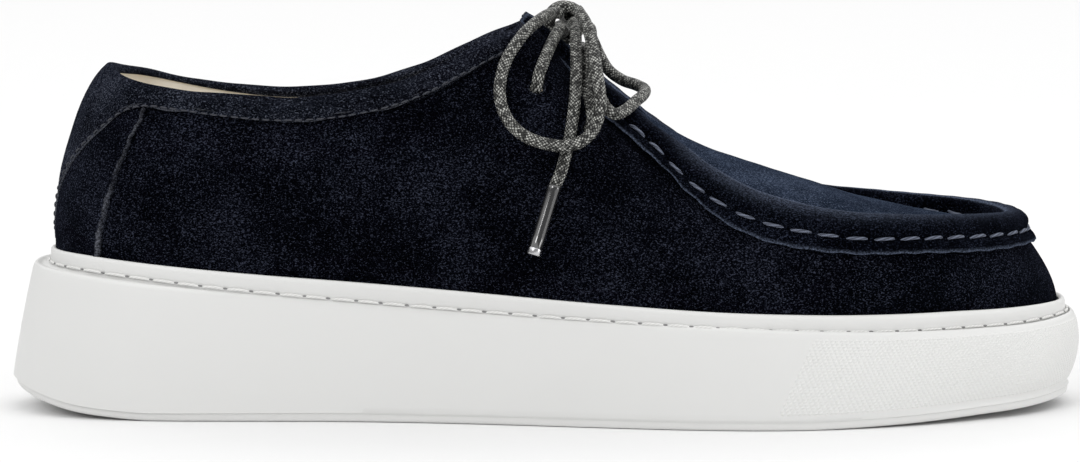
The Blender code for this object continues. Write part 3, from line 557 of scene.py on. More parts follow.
# The collar dips beside the heel on the lateral side, and a little along the medial side.
LATERAL_DIP = np.interp(np.arange(TOE + 1), [0, 1, 2, 3, 4, 5], [0.0, 1.4, 1.9, 1.3, 0.3, 0.0])
MEDIAL_DIP = np.interp(np.arange(TOE + 1), [0.6, 3.0, 5.0, 7.0], [0.0, 0.7, 0.8, 0.0])
TOP_Z = ring_column(UPPER["z"] - LATERAL_DIP, UPPER["z"] - MEDIAL_DIP)
FLARE = ring_column(UPPER["flare"], UPPER["flare"])
LEAN = ring_column(UPPER["lean"], UPPER["lean"])
TOP_IN = ring_column(SOLE["top_in"], SOLE["top_in"])
SWELL = ring_column(SOLE["swell"], SOLE["swell"])
# Directions are read between points this far to either side, in ring stations or plug rows.
SMALL_STEP = 0.05


def stack(x, y, z):
    """Points from three arrays or numbers that fit together."""
    return np.stack(np.broadcast_arrays(*(np.asarray(c, float) for c in (x, y, z))), axis=-1)


def unit(vectors):
    """The vectors' directions."""
    return vectors / np.maximum(np.linalg.norm(vectors, axis=-1, keepdims=True), 1e-9)


def dot(a, b):
    """The vectors' products, kept as a last axis of length 1."""
    return np.sum(a * b, axis=-1, keepdims=True)


def outward(line, s):
    """The level direction that points out of a ring line."""
    dx, dy = (spline(c, s + SMALL_STEP, True) - spline(c, s - SMALL_STEP, True) for c in line)
    return unit(stack(dy, -dx, 0.0))


def height(name, x):
    """One of the sole's heights at x."""
    return np.maximum(along(HEIGHTS, "x", name, x), 0.0)


def upper_foot(s):
    """The upper's foot on the cup's floor at ring station s."""
    x, y = (spline(c, s, True) for c in FOOT_LINE)
    return stack(x, y, height("floor", x) + GAP)


def upper_top(s):
    """The upper's top edge at ring station s."""
    x, y = (spline(c, s, True) for c in TOP_LINE)
    return stack(x, y, spline(TOP_Z, s, True))


def upper_point(s, v):
    """The upper's outer surface at ring station s, from v = 0 at the foot to v = 1 at the top edge."""
    s, v = np.broadcast_arrays(np.asarray(s, float), np.asarray(v, float))
    foot, top = upper_foot(s), upper_top(s)
    out = outward(FOOT_LINE, s)
    side = stack(-out[..., 1], out[..., 0], 0.0)
    span = top - foot
    reach = np.linalg.norm(span, axis=-1, keepdims=True)
    drift = side * dot(span, side) / reach
    flare = np.radians(spline(FLARE, s, True))[..., None]
    lean = np.radians(spline(LEAN, s, True))[..., None]
    p1 = foot + (out * np.sin(flare) + UP * np.cos(flare) + drift) * HANDLE * reach
    p2 = top - (UP * np.cos(lean) - out * np.sin(lean) + drift) * HANDLE * reach
    v = v[..., None]
    w = 1 - v
    return foot * w**3 + p1 * 3 * w * w * v + p2 * 3 * w * v * v + top * v**3


def upper_normal(s, v):
    """The outer surface's normal, pointing out of the shoe."""
    v = np.asarray(v, float)
    ds = upper_point(s + 0.04, v) - upper_point(s - 0.04, v)
    dv = upper_point(s, np.minimum(v + 0.01, 1.0)) - upper_point(s, np.maximum(v - 0.01, 0.0))
    return unit(np.cross(ds, dv))


def upper_offset(s, v, out):
    """A point that far outside the upper's outer surface."""
    return upper_point(s, v) + upper_normal(s, v) * np.asarray(out, float)[..., None]


def upper_share(s, z):
    """The v at which the upper reaches height z."""
    s, z = np.broadcast_arrays(np.asarray(s, float), np.asarray(z, float))
    low, high = np.zeros(s.shape), np.ones(s.shape)
    for _ in range(22):
        middle = (low + high) / 2
        under = upper_point(s, middle)[..., 2] < z
        low, high = np.where(under, middle, low), np.where(under, high, middle)
    return (low + high) / 2


def on_side(station, side):
    """A lateral station, or the medial one opposite it."""
    return station if side < 0 else 2 * TOE - station


def plug_place(r, side):
    """The plug's seam at plug row r."""
    station = SEAM_FIRST + r
    free = stack(spline(PLUG["x"], r), side * spline(PLUG["half"], r), spline(PLUG["z"], r))
    joined = upper_top(on_side(np.maximum(station, SEAM_JOIN), side))
    return np.where((station >= SEAM_JOIN)[..., None], joined, free)


def plug_frame(r, side):
    """The seam's place at plug row r, the direction up the upper's surface and the one out of it."""
    r = np.asarray(r, float)
    station = SEAM_FIRST + r
    here = plug_place(r, side)
    near = np.maximum(r, SMALL_STEP)
    run = unit(plug_place(near + SMALL_STEP, side) - plug_place(near - SMALL_STEP, side))
    lean = np.radians(spline(PLUG["lean"], r))[..., None]
    level = unit(np.array([-0.45, side * 0.9, 0.0]))
    free = unit(np.cross(run, UP * np.cos(lean) - level * np.sin(lean)))
    free = np.where(dot(free, level) < 0, -free, free)
    share = np.clip(station - (SEAM_JOIN - 1), 0.0, 1.0)[..., None]
    joined = upper_normal(on_side(np.maximum(station, SEAM_JOIN), side), 1.0)
    out = unit(free * (1 - share) + joined * share)
    up = unit(np.cross(out, run))
    return here, np.where(up[..., 2:] < 0, -up, up), out


def plug_fullness(r):
    """How full the ridge is at plug row r: 1 round the toe, less beside the tongue."""
    return spline(PLUG["ridge"], r) / PLUG["ridge"][-1]


def plug_face(r):
    """How far the flange's outer face stands out of the seam."""
    return SEAM_FACE + (FLANGE_OUT - SEAM_FACE) * plug_fullness(r)


def crown_point(x, y):
    """A point of the crown, which is level across the shoe."""
    return stack(x, y, along(CROWN, "x", "z", x))


# ---------------------------------------------------------------- small helpers for shapes and meshes


def bump_at(x, centre, width):
    """1 at the centre, falling smoothly to 0 a few widths away."""
    return np.exp(-(((x - centre) / width) ** 2))


def ease(x, low, high):
    """0 below low, 1 above high, and smooth between."""
    f = np.clip((x - low) / (high - low), 0.0, 1.0)
    return f * f * (3 - 2 * f)


def unevenness(points, *parts):
    """Soft irregular values; each part has the size of its features, its seed and its strength."""
    return sum(waver(points, size, seed) * strength for size, seed, strength in parts)


def waver(points, size, seed):
    """Soft irregular values from about -1 to 1 over points, with features of about that size."""
    draw = np.random.default_rng(seed)
    total = np.zeros(points.shape[:-1])
    for _ in range(7):
        way = unit(draw.normal(size=3)) * (2 * math.pi / (size * draw.uniform(1.2, 3.0)))
        total = total + np.sin(points @ way + draw.uniform(0, 2 * math.pi))
    return total / 3.0


def arc_lengths(points):
    """Distance along a line of points, starting at 0."""
    steps = np.linalg.norm(np.diff(points, axis=0), axis=1)
    return np.concatenate([[0.0], np.cumsum(steps)])


def read_along(rows, far, at):
    """The rows that lie at distances along a line; far is the distance of each row given."""
    return np.stack([np.interp(at, far, rows[:, k]) for k in range(3)], axis=-1)


def normals_of(points, wrap=False):
    """Normals of a grid of points; wrap says that its last row meets its first."""
    if wrap:
        rows = np.roll(points, -1, axis=0) - np.roll(points, 1, axis=0)
    else:
        rows = np.gradient(points, axis=0)
    return unit(np.cross(rows, np.gradient(points, axis=1)))


class Shape:
    """Gathers vertices, faces, a mask for each vertex, material numbers and uv for one mesh."""

    def __init__(self):
        self.points, self.faces, self.marks, self.looks, self.uv = [], [], [], [], []
        self.count = 0

    def grid(self, points, wrap=False, mark=0.0, uv=None, flip=False):
        """Adds rows of points joined by quads and returns the number of its first vertex."""
        rows, across = points.shape[:2]
        self.points.append(points.reshape(-1, 3))
        self.marks.append(np.broadcast_to(mark, (rows, across)).reshape(-1))
        self.uv.append(np.zeros((rows * across, 2)) if uv is None else uv.reshape(-1, 2))
        i = np.arange(rows if wrap else rows - 1)[:, None]
        a = i * across + np.arange(across - 1)[None, :]
        b = a + across - np.where(i == rows - 1, rows * across, 0)
        corners = [a, a + 1, b + 1, b] if flip else [a, b, b + 1, a + 1]
        quads = np.stack(corners, axis=-1).reshape(-1, 4) + self.count
        self.faces.append(quads)
        self.looks.append(np.zeros(len(quads), int))
        first = self.count
        self.count += rows * across
        return first

    def fan(self, ring, centre):
        """Closes a ring of existing vertices with a new centre vertex."""
        self.points.append(np.asarray(centre, float)[None, :])
        self.marks.append(np.zeros(1))
        self.uv.append(np.zeros((1, 2)))
        tris = np.stack([ring, np.roll(ring, -1), np.full(len(ring), self.count)], axis=-1)
        self.faces.append(np.concatenate([tris, np.full((len(ring), 1), -1)], axis=1))
        self.looks.append(np.zeros(len(ring), int))
        self.count += 1

    def build(self, name, looks, sharp=40, closed=True):
        """Makes the object in the scene, smooth shaded, with its mask and uv."""
        points = np.concatenate(self.points) * M
        faces = np.concatenate(self.faces)
        triangles = faces[:, 3] < 0
        loops = faces.reshape(-1)[faces.reshape(-1) >= 0]
        sizes = np.where(triangles, 3, 4)
        mesh = bpy.data.meshes.new(name)
        mesh.vertices.add(len(points))
        mesh.vertices.foreach_set("co", points.reshape(-1))
        mesh.loops.add(len(loops))
        mesh.loops.foreach_set("vertex_index", loops.astype(np.int32))
        mesh.polygons.add(len(faces))
        starts = np.concatenate([[0], np.cumsum(sizes)[:-1]])
        mesh.polygons.foreach_set("loop_start", starts.astype(np.int32))
        mesh.polygons.foreach_set("material_index", np.concatenate(self.looks).astype(np.int32))
        mesh.update(calc_edges=True)
        mark = mesh.attributes.new("worn_edge", "FLOAT", "POINT")
        mark.data.foreach_set("value", np.concatenate(self.marks).astype(np.float32))
        layer = mesh.uv_layers.new(name="UVMap")
        layer.data.foreach_set("uv", np.concatenate(self.uv)[loops].reshape(-1).astype(np.float32))
        mesh.validate()
        for look in looks:
            mesh.materials.append(look)
        item = add_object(name, mesh)
        merge_near(mesh, closed)
        mesh.shade_smooth()
        mesh.set_sharp_from_angle(angle=math.radians(sharp))
        return item


def add_object(name, data):
    """A new object in the scene."""
    item = bpy.data.objects.new(name, data)
    bpy.context.scene.collection.objects.link(item)
    return item


def merge_near(mesh, closed):
    """Merges vertices that lie together and, on a closed shape, turns every face outwards."""
    bm = bmesh.new()
    bm.from_mesh(mesh)
    bmesh.ops.remove_doubles(bm, verts=bm.verts, dist=WELD * M)
    bmesh.ops.dissolve_degenerate(bm, edges=bm.edges, dist=WELD * M * 0.5)
    if closed:
        bmesh.ops.recalc_face_normals(bm, faces=bm.faces)
    bm.to_mesh(mesh)
    bm.free()


def thicken(item, thickness, inner_look=0):
    """Gives a sheet its real thickness, away from its outer face; inner_look is the inside's slot step."""
    modifier = item.modifiers.new("leather", "SOLIDIFY")
    modifier.thickness = thickness * M
    modifier.offset = -1
    modifier.use_even_offset = False
    modifier.material_offset = inner_look
    modifier.material_offset_rim = 0


def finish_piece(item, slot, *nodes):
    """The piece rides on the shoe's one body and stands for these CAD nodes."""
    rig.ride(item, BODY)
    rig.slot(item, slot)
    if nodes:
        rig.replaces(item, *nodes)
    return item


def tube_frames(path):
    """Two unit directions across a path at each of its points, turning as little as they can."""
    way = unit(np.gradient(path, axis=0))
    side = unit(np.cross(way[0], np.array([0.3, 0.1, 1.0])))
    sides = []
    for w in way:
        side = unit(side - w * float(side @ w))
        sides.append(side)
    sides = np.array(sides)
    return sides, np.cross(way, sides)


def add_tube(shape, path, radius, sides, start=0.0, relief=None):
    """Adds a closed round tube along a path; relief(turn, far) raises its surface in millimetres."""
    path = np.asarray(path, float)
    a, b = tube_frames(path)
    turn = np.linspace(0, 2 * math.pi, sides + 1)
    far = arc_lengths(path) + start
    across = a[:, None] * np.cos(turn)[None, :, None] + b[:, None] * np.sin(turn)[None, :, None]
    size = np.broadcast_to(radius, (len(path),))[:, None] + np.zeros(sides + 1)
    if relief is not None:
        size = size + relief(turn[None, :], far[:, None])
    points = path[:, None, :] + across * size[..., None]
    uv = np.stack(np.broadcast_arrays(turn[None, :] / (2 * math.pi), far[:, None] / 10), axis=-1)
    first = shape.grid(points, uv=uv)
    last = first + (len(path) - 1) * (sides + 1)
    shape.fan(np.arange(first, first + sides), path[0])
    shape.fan(np.arange(last, last + sides), path[-1])


def smooth_path(route, step):
    """Evenly spaced points along a smooth curve through a route's points."""
    route = np.asarray(route, float)
    fine = spline(route, np.linspace(0, len(route) - 1, 40 * len(route)))
    far = arc_lengths(fine)
    count = max(4, int(round(far[-1] / step)))
    return read_along(fine, far, np.linspace(0, far[-1], count + 1))


def add_stitches(shape, surface, out, pitch, length, radius, rise, slant=0.0, start=0.0, up=None):
    """Adds a row of sewn threads along a line of surface points.

    Each one is arched: its ends dip in and its middle stands out by rise. slant tips it along up.
    """
    far = arc_lengths(surface)
    total = far[-1]
    count = int((total - start) // pitch)
    wobble = np.random.default_rng(7)
    for i in range(count):
        middle = start + (i + 0.5) * pitch + wobble.normal(0, 0.04 * pitch)
        span = length * (1 + wobble.normal(0, 0.04))
        t = np.linspace(-1, 1, 9)
        at = np.clip(middle + t * span / 2, 0, total)
        lift = rise * (1 - 2.5 * np.abs(t) ** 2.6)
        path = read_along(surface, far, at) + unit(read_along(out, far, at)) * lift[:, None]
        if up is not None:
            tip = slant * t * (1 + wobble.normal(0, 0.15))
            path = path + unit(read_along(up, far, at)) * tip[:, None]
        add_tube(shape, path, radius * (1 - 0.45 * np.abs(t) ** 4), sides=8, start=i * 2.0)


# ---------------------------------------------------------------- materials


def rgb(r, g, b):
    """An opaque colour."""
    return (r, g, b, 1.0)


def add_node(tree, kind, inputs=(), **settings):
    """Adds one shader node; an input's value is a number, a colour or another node's output."""
    node = tree.nodes.new(kind)
    for name, value in settings.items():
        setattr(node, name, value)
    for key, value in dict(inputs).items():
        if isinstance(value, bpy.types.NodeSocket):
            tree.links.new(value, node.inputs[key])
        else:
            node.inputs[key].default_value = value
    return node


def maths(tree, operation, a, b=0.0):
    """The result of one sum, product or other operation."""
    return add_node(tree, "ShaderNodeMath", {0: a, 1: b}, operation=operation).outputs[0]


def weighted(tree, *terms):
    """The sum of values that each count with a weight."""
    total = maths(tree, "MULTIPLY", *terms[0])
    for value, weight in terms[1:]:
        total = maths(tree, "ADD", total, maths(tree, "MULTIPLY", value, weight))
    return total


def remap(tree, value, low, high, to_low=0.0, to_high=1.0):
    """The value's place between low and high, kept inside them, carried over to another range."""
    inputs = {"Value": value, "From Min": low, "From Max": high, "To Min": to_low, "To Max": to_high}
    return add_node(tree, "ShaderNodeMapRange", inputs).outputs[0]


def blend(tree, share, a, b):
    """The mixed colour."""
    inputs = {0: share, 6: a, 7: b}
    return add_node(tree, "ShaderNodeMix", inputs, data_type="RGBA").outputs[2]


def noise(tree, where, scale, detail=2.0, roughness=0.5):
    """Noise with scale features to the metre."""
    inputs = {"Vector": where, "Scale": scale, "Detail": detail, "Roughness": roughness}
    return add_node(tree, "ShaderNodeTexNoise", inputs).outputs[0]


def object_coordinates(tree, stretch=(1.0, 1.0, 1.0)):
    """Places on the piece, in metres."""
    where = add_node(tree, "ShaderNodeTexCoord").outputs["Object"]
    return add_node(tree, "ShaderNodeMapping", {"Vector": where, "Scale": stretch}).outputs[0]


def round_and_along(tree, per_turn, per_centimetre):
    """Counts round a tube and along it, from the uv that add_tube gives."""
    uv = add_node(tree, "ShaderNodeTexCoord").outputs["UV"]
    parts = add_node(tree, "ShaderNodeSeparateXYZ", {0: uv}).outputs
    return maths(tree, "MULTIPLY", parts[0], per_turn), maths(tree, "MULTIPLY", parts[1], per_centimetre)


COLOUR, FLOAT = "NodeSocketColor", "NodeSocketFloat"
GROUP_OUTPUTS = {"Colour": COLOUR, "Roughness": FLOAT, "Height": FLOAT}


def open_group(name, inputs):
    """A new shader node group with these inputs and first values; returns its tree and its inputs."""
    tree = bpy.data.node_groups.new(name, "ShaderNodeTree")
    for label, value in inputs.items():
        kind = FLOAT if isinstance(value, float) else COLOUR
        tree.interface.new_socket(label, in_out="INPUT", socket_type=kind).default_value = value
    for label, kind in GROUP_OUTPUTS.items():
        tree.interface.new_socket(label, in_out="OUTPUT", socket_type=kind)
    return tree, tree.nodes.new("NodeGroupInput").outputs


def close_group(tree, *results):
    """Links a group's colour, roughness and height to its outputs."""
    made = tree.nodes.new("NodeGroupOutput").inputs
    for label, value in zip(GROUP_OUTPUTS, results):
        tree.links.new(value, made[label])
    return tree


def suede_nap_group():
    """Napped leather: cloudy patches, short bright fibres, dark pores and lighter worn edges; the edge mask also
    carries painted highlights.
    """
    tree, given = open_group(
        "suede_nap",
        {
            "Deep Colour": rgb(0.0008, 0.0009, 0.0014),
            "Light Colour": rgb(0.010, 0.012, 0.020),
            "Fleck Colour": rgb(0.060, 0.070, 0.110),
            "Edge Colour": rgb(0.090, 0.100, 0.130),
            "Worn Edge": 0.0,
        },
    )
    combed = object_coordinates(tree, (0.7, 1.0, 1.0))
    patches = remap(tree, noise(tree, object_coordinates(tree), 52, 3, 0.6), 0.36, 0.66)
    clouds = remap(tree, noise(tree, combed, 290, 4, 0.6), 0.34, 0.68)
    fibres = noise(tree, combed, 2500, 3, 0.75)
    fibre_tone = remap(tree, fibres, 0.38, 0.66, -0.18, 0.66)
    tone = weighted(tree, (patches, 0.36), (clouds, 0.24), (fibre_tone, 1.0))
    colour = blend(tree, tone, given["Deep Colour"], given["Light Colour"])
    flecks = remap(tree, weighted(tree, (fibres, 1.0), (patches, 0.06)), 0.58, 0.68)
    colour = blend(tree, flecks, colour, given["Fleck Colour"])
    # Lighter towards the edge colour where the mask marks worn edges and painted highlights.
    frayed = maths(tree, "MULTIPLY", given["Worn Edge"], remap(tree, fibres, 0.38, 0.60, 0.08, 1.0))
    colour = blend(tree, frayed, colour, given["Edge Colour"])
    roughness = remap(tree, clouds, 0, 1, 0.9, 1.0)
    return close_group(tree, colour, roughness, weighted(tree, (fibres, 0.8), (clouds, 0.6)))


def leather_grain_group():
    """Smooth lining leather: fine pebbled grain, faint creasing and uneven tone."""
    colours = {"Colour": rgb(0.8, 0.7, 0.55), "Shade Colour": rgb(0.6, 0.5, 0.38)}
    tree, given = open_group("leather_grain", colours)
    where = object_coordinates(tree)
    cells = add_node(tree, "ShaderNodeTexVoronoi", {"Vector": where, "Scale": 1300.0}).outputs["Distance"]
    tone = remap(tree, noise(tree, where, 90, 4, 0.6), 0.3, 0.7)
    colour = blend(tree, maths(tree, "MULTIPLY", tone, 0.35), given["Colour"], given["Shade Colour"])
    roughness = remap(tree, tone, 0, 1, 0.5, 0.66)
    return close_group(tree, colour, roughness, weighted(tree, (cells, 1.0), (tone, 0.6)))


def moulded_rubber_group():
    """White moulded rubber: a faint satin grain, slight greying and tiny mould specks."""
    colours = {"Colour": rgb(0.86, 0.86, 0.85), "Dust Colour": rgb(0.70, 0.69, 0.66)}
    tree, given = open_group("moulded_rubber", {**colours, "Lowest Roughness": 0.42})
    where = object_coordinates(tree)
    cloud = remap(tree, noise(tree, where, 40, 3, 0.5), 0.4, 0.75)
    specks = remap(tree, noise(tree, where, 900, 2, 0.7), 0.68, 0.8)
    dust = weighted(tree, (cloud, 0.05), (specks, 0.10))
    colour = blend(tree, dust, given["Colour"], given["Dust Colour"])
    roughness = weighted(tree, (given["Lowest Roughness"], 1.0), (cloud, 0.1))
    return close_group(tree, colour, roughness, noise(tree, where, 2600, 2, 0.5))


def twisted_thread_group():
    """Plied thread: turning strands, with painted shade between them."""
    colours = {"Colour": rgb(0.2, 0.22, 0.3), "Shade Colour": rgb(0.08, 0.09, 0.13)}
    tree, given = open_group("twisted_thread", {**colours, "Plies": 3.0, "Turns per Centimetre": 5.0})
    twist = maths(tree, "ADD", *round_and_along(tree, given["Plies"], given["Turns per Centimetre"]))
    wave = maths(tree, "SINE", maths(tree, "MULTIPLY", twist, 2 * math.pi))
    strand = remap(tree, wave, -1, 1)
    fuzz = noise(tree, object_coordinates(tree), 2600, 3, 0.7)
    share = maths(tree, "MULTIPLY", strand, remap(tree, fuzz, 0.3, 0.7, 0.6, 1.0))
    colour = blend(tree, share, given["Shade Colour"], given["Colour"])
    roughness = remap(tree, fuzz, 0.3, 0.7, 0.6, 0.85)
    return close_group(tree, colour, roughness, weighted(tree, (strand, 1.0), (fuzz, 0.3)))


def braided_cord_group():
    """Waxed braided lace: crossing strands, with painted glints on the raised strands in waxed patches and painted
    shade elsewhere.
    """
    tree, given = open_group(
        "braided_cord",
        {
            "Colour": rgb(0.10, 0.105, 0.10),
            "Shade Colour": rgb(0.012, 0.012, 0.014),
            "Strands": float(BRAID_STRANDS),
            "Crossings per Centimetre": BRAID_CROSSINGS,
        },
    )
    around, far = round_and_along(tree, given["Strands"], given["Crossings per Centimetre"])
    ways = [maths(tree, "ADD", around, far), maths(tree, "SUBTRACT", around, far)]
    whole = maths(tree, "ADD", *[maths(tree, "FLOOR", way) for way in ways])
    over = maths(tree, "FLOORED_MODULO", whole, 2.0)
    parts = [maths(tree, "FRACT", way) for way in ways]
    arches = [maths(tree, "SINE", maths(tree, "MULTIPLY", part, math.pi)) for part in parts]
    strands = []
    for wide, long, way in ((arches[1], arches[0], ways[1]), (arches[0], arches[1], ways[0])):
        yarn = maths(tree, "ABSOLUTE", maths(tree, "SINE", maths(tree, "MULTIPLY", way, 3 * math.pi)))
        body = maths(tree, "MULTIPLY", wide, maths(tree, "POWER", long, 0.5))
        strands.append(maths(tree, "MULTIPLY", body, remap(tree, yarn, 0.0, 0.7, 0.72, 1.0)))
    under = maths(tree, "SUBTRACT", 1.0, over)
    raised = weighted(tree, (strands[0], under), (strands[1], over))
    wax = noise(tree, object_coordinates(tree), 760, 4, 0.7)
    waxed = remap(tree, wax, 0.45, 0.58, 0.05, 1.0)
    # Painted glint: the raised strands in waxed patches take the bright colour, and all else takes the dark colour of
    # painted shade.
    painted_glint = maths(tree, "MULTIPLY", maths(tree, "POWER", raised, 1.7), waxed)
    colour = blend(tree, painted_glint, given["Shade Colour"], given["Colour"])
    roughness = remap(tree, wax, 0.3, 0.7, 0.50, 0.30)
    return close_group(tree, colour, roughness, weighted(tree, (raised, 1.0), (wax, 0.25)))


# Suedes: what each gives to the suede_nap group besides its light colour.
SUEDE_LABELS = ("Deep Colour", "Fleck Colour", "Edge Colour")
DEEP_NAVY = rgb(0.0003, 0.0003, 0.0006)
NAVY_EDGE = rgb(0.100, 0.108, 0.135)
TRIM_EDGE = rgb(0.125, 0.132, 0.155)
SUEDES = {
    "navy_suede": (DEEP_NAVY, rgb(0.036, 0.041, 0.062), NAVY_EDGE),
    # A lighter copy of the side's suede: painted light on the lit top of the plug and tongue.
    "plug_suede": (rgb(0.0040, 0.0062, 0.0115), rgb(0.095, 0.120, 0.175), NAVY_EDGE),
    # A darker copy: painted shade on the ridge's outer face and the flange. Its bluer edge colour paints the raw edges
    # of the flange and crest, and the painted highlight along the crest.
    "roll_suede": (DEEP_NAVY, rgb(0.023, 0.028, 0.046), rgb(0.105, 0.128, 0.185)),
    "trim_suede": (DEEP_NAVY, rgb(0.080, 0.089, 0.118), TRIM_EDGE),
    "panel_suede": (DEEP_NAVY, rgb(0.044, 0.050, 0.074), TRIM_EDGE),
}
SUEDE_SHADER = {
    "Sheen Weight": 0.012,
    "Sheen Roughness": 0.5,
    "Sheen Tint": rgb(0.6, 0.7, 1.0),
    "Specular IOR Level": 0.0,
}
SUEDE_RELIEF = (0.8, 0.4)

# What the other materials give to their node groups besides their main colour.
CREAM = {"Shade Colour": rgb(0.84, 0.77, 0.65)}
TAN = {"Shade Colour": rgb(0.66, 0.55, 0.40)}
WHITE = {"Dust Colour": rgb(0.54, 0.54, 0.52)}
SLATE = {"Shade Colour": rgb(0.030, 0.036, 0.056), "Plies": 3.0, "Turns per Centimetre": 3.2}
GREY = {"Shade Colour": rgb(0.014, 0.015, 0.021), "Turns per Centimetre": 9.0}
PALE = {"Shade Colour": rgb(0.62, 0.62, 0.60), "Turns per Centimetre": 8.0}
HOLE_SHADOW = {"Dust Colour": rgb(0.16, 0.16, 0.16), "Lowest Roughness": 0.8}
# The lace's dark colour is painted shade between the strands; its main colour paints the glints.
LACE = {"Shade Colour": rgb(0.002, 0.002, 0.002)}
BLACK = {"Dust Colour": rgb(0.03, 0.03, 0.03), "Lowest Roughness": 0.12}
METAL = {"Dust Colour": rgb(0.3, 0.3, 0.3), "Lowest Roughness": 0.2}

# The other materials: node group, what it is given, the relief's strength and its depth in millimetres,
# and what is set on the shader itself.
OTHER_LOOKS = {
    "lining_leather": ("leather_grain", CREAM, 0.5, 0.12, {}),
    "footbed_leather": ("leather_grain", TAN, 0.6, 0.15, {}),
    "white_rubber": ("moulded_rubber", WHITE, 0.12, 0.05, {}),
    "toe_rubber": ("moulded_rubber", WHITE, 0.2, 0.06, {}),
    "slate_thread": ("twisted_thread", SLATE, 0.5, 0.06, {}),
    "grey_thread": ("twisted_thread", GREY, 0.8, 0.06, {}),
    "white_thread": ("twisted_thread", PALE, 0.3, 0.04, {}),
    "hole_shadow": ("moulded_rubber", HOLE_SHADOW, 0.1, 0.03, {}),
    "waxed_lace": ("braided_cord", LACE, 1.0, 0.2, {"Specular IOR Level": 0.25}),
    "aglet_plastic": ("moulded_rubber", BLACK, 0.05, 0.03, {"Coat Weight": 0.6, "Specular IOR Level": 1.0}),
    "aglet_tip": ("moulded_rubber", METAL, 0.1, 0.03, {"Metallic": 1.0}),
}


def make_material(name, group, given, bump, depth, shader_values):
    """A Principled material fed by a group; bump and depth (in millimetres) shape its relief."""
    item = bpy.data.materials.new(name)
    item.use_nodes = True
    tree = item.node_tree
    shader = tree.nodes["Principled BSDF"]
    source = tree.nodes.new("ShaderNodeGroup")
    source.node_tree = group
    for label, value in given.items():
        source.inputs[label].default_value = value
    if "Worn Edge" in source.inputs:
        edge = add_node(tree, "ShaderNodeAttribute", attribute_name="worn_edge").outputs["Fac"]
        tree.links.new(edge, source.inputs["Worn Edge"])
    relief = {"Strength": bump, "Distance": depth * M, "Height": source.outputs["Height"]}
    tree.links.new(source.outputs["Colour"], shader.inputs["Base Color"])
    tree.links.new(source.outputs["Roughness"], shader.inputs["Roughness"])
    tree.links.new(add_node(tree, "ShaderNodeBump", relief).outputs[0], shader.inputs["Normal"])
    for label, value in shader_values.items():
        shader.inputs[label].default_value = value
    return item


def make_looks(colours):
    """Every material of the shoe, by name; colours holds each one's main colour under the same name."""
    groups = [suede_nap_group(), leather_grain_group(), moulded_rubber_group()]
    groups += [twisted_thread_group(), braided_cord_group()]
    groups = {group.name: group for group in groups}
    looks = {}
    for name, others in SUEDES.items():
        given = {"Light Colour": getattr(colours, name), **dict(zip(SUEDE_LABELS, others))}
        looks[name] = make_material(name, groups["suede_nap"], given, *SUEDE_RELIEF, SUEDE_SHADER)
    for name, (group, others, *values) in OTHER_LOOKS.items():
        given = {"Colour": getattr(colours, name), **others}
        looks[name] = make_material(name, groups[group], given, *values)
    return looks


# ---------------------------------------------------------------- cup sole

# The rim under the wall: how far in from the sole's outline and how far up from the bottom.
BOTTOM_EDGE = [
    (3.2, 0.0),
    (1.9, 0.08),
    (1.4, 0.28),
    (1.15, 0.7),
    (1.08, 1.4),
    (1.05, 2.05),
    (0.95, 2.35),
    (0.7, 2.55),
]
# The wall's rows, from its foot at the rim to its head just under the rounded top edge, as shares of its
# height above WALL_START.
WALL_FOOT = -0.085
WALL_HEAD = 0.955
WALL_ROWS = 17
# The wall's rounded top edge: how far in and how far down.
CREST = [(0.06, 0.55), (0.22, 0.24), (0.5, 0.05), (0.75, 0.0)]
# The ledge with its groove: share of the way from the top edge to the lip, and how far down.
LEDGE = [(0.12, 0.12), (0.2, 0.55), (0.4, 0.95), (0.65, 0.95), (0.88, 0.6)]
# The lip: share of its height, and how far in from its foot, which is LIP_OUT from the upper's face.
LIP = [(0.02, 0.0), (0.35, -0.04), (0.7, 0.02), (0.88, 0.16), (0.97, 0.45), (1.0, 0.85), (0.98, 1.3)]
LIP_OUT = 2.3
# Rows at each end of the section that are left quite even, so that the shoe stands flat on the floor.
LEVEL_ROWS = 3
# The fine ribs between the grooves, and the zigzag that they follow.
RIB_PITCH = 4.2
RIB_DEPTH = 0.4
ZIGZAG_DEPTH = 1.8
ZIGZAG_LENGTH = 9.0
STITCH_RADIUS = 0.42
STITCH_OUT = LIP_OUT + 0.45
HOLE_LENGTH = 1.2
HOLE_RADIUS = 0.25
# The toe grip: the ring stations of its ends at the wall's foot, its rows up the wall and how far both
# ends lean in towards the top.
GRIP_ENDS = (13.4, 2 * TOE - 12.6)
GRIP_ROWS = 26
GRIP_SLANT = 10.5
GRIP_THICKNESS = 0.3


def sole_side(s, share):
    """The sole's wall, from share 0 at WALL_START above the bottom to share 1 at its top edge."""
    x, y = (spline(c, s, True) for c in SOLE_LINE)
    wall = height("wall", x)
    base = height("lift", x) + WALL_START
    top_in, swell = spline(TOP_IN, s, True), spline(SWELL, s, True)
    inset = RIM_STEP + (top_in - RIM_STEP) * share - 4 * share * (1 - share) * swell
    out = outward(SOLE_LINE, s)
    return stack(x, y, 0.0) - out * inset[..., None] + stack(0, 0, base + (wall - base) * share), out


def lip_point(s, z, off):
    """A point beside the upper at height z, that far out of its face."""
    flat = upper_point(s, upper_share(s, z)) + outward(FOOT_LINE, s) * np.asarray(off, float)[..., None]
    return stack(flat[..., 0], flat[..., 1], z)


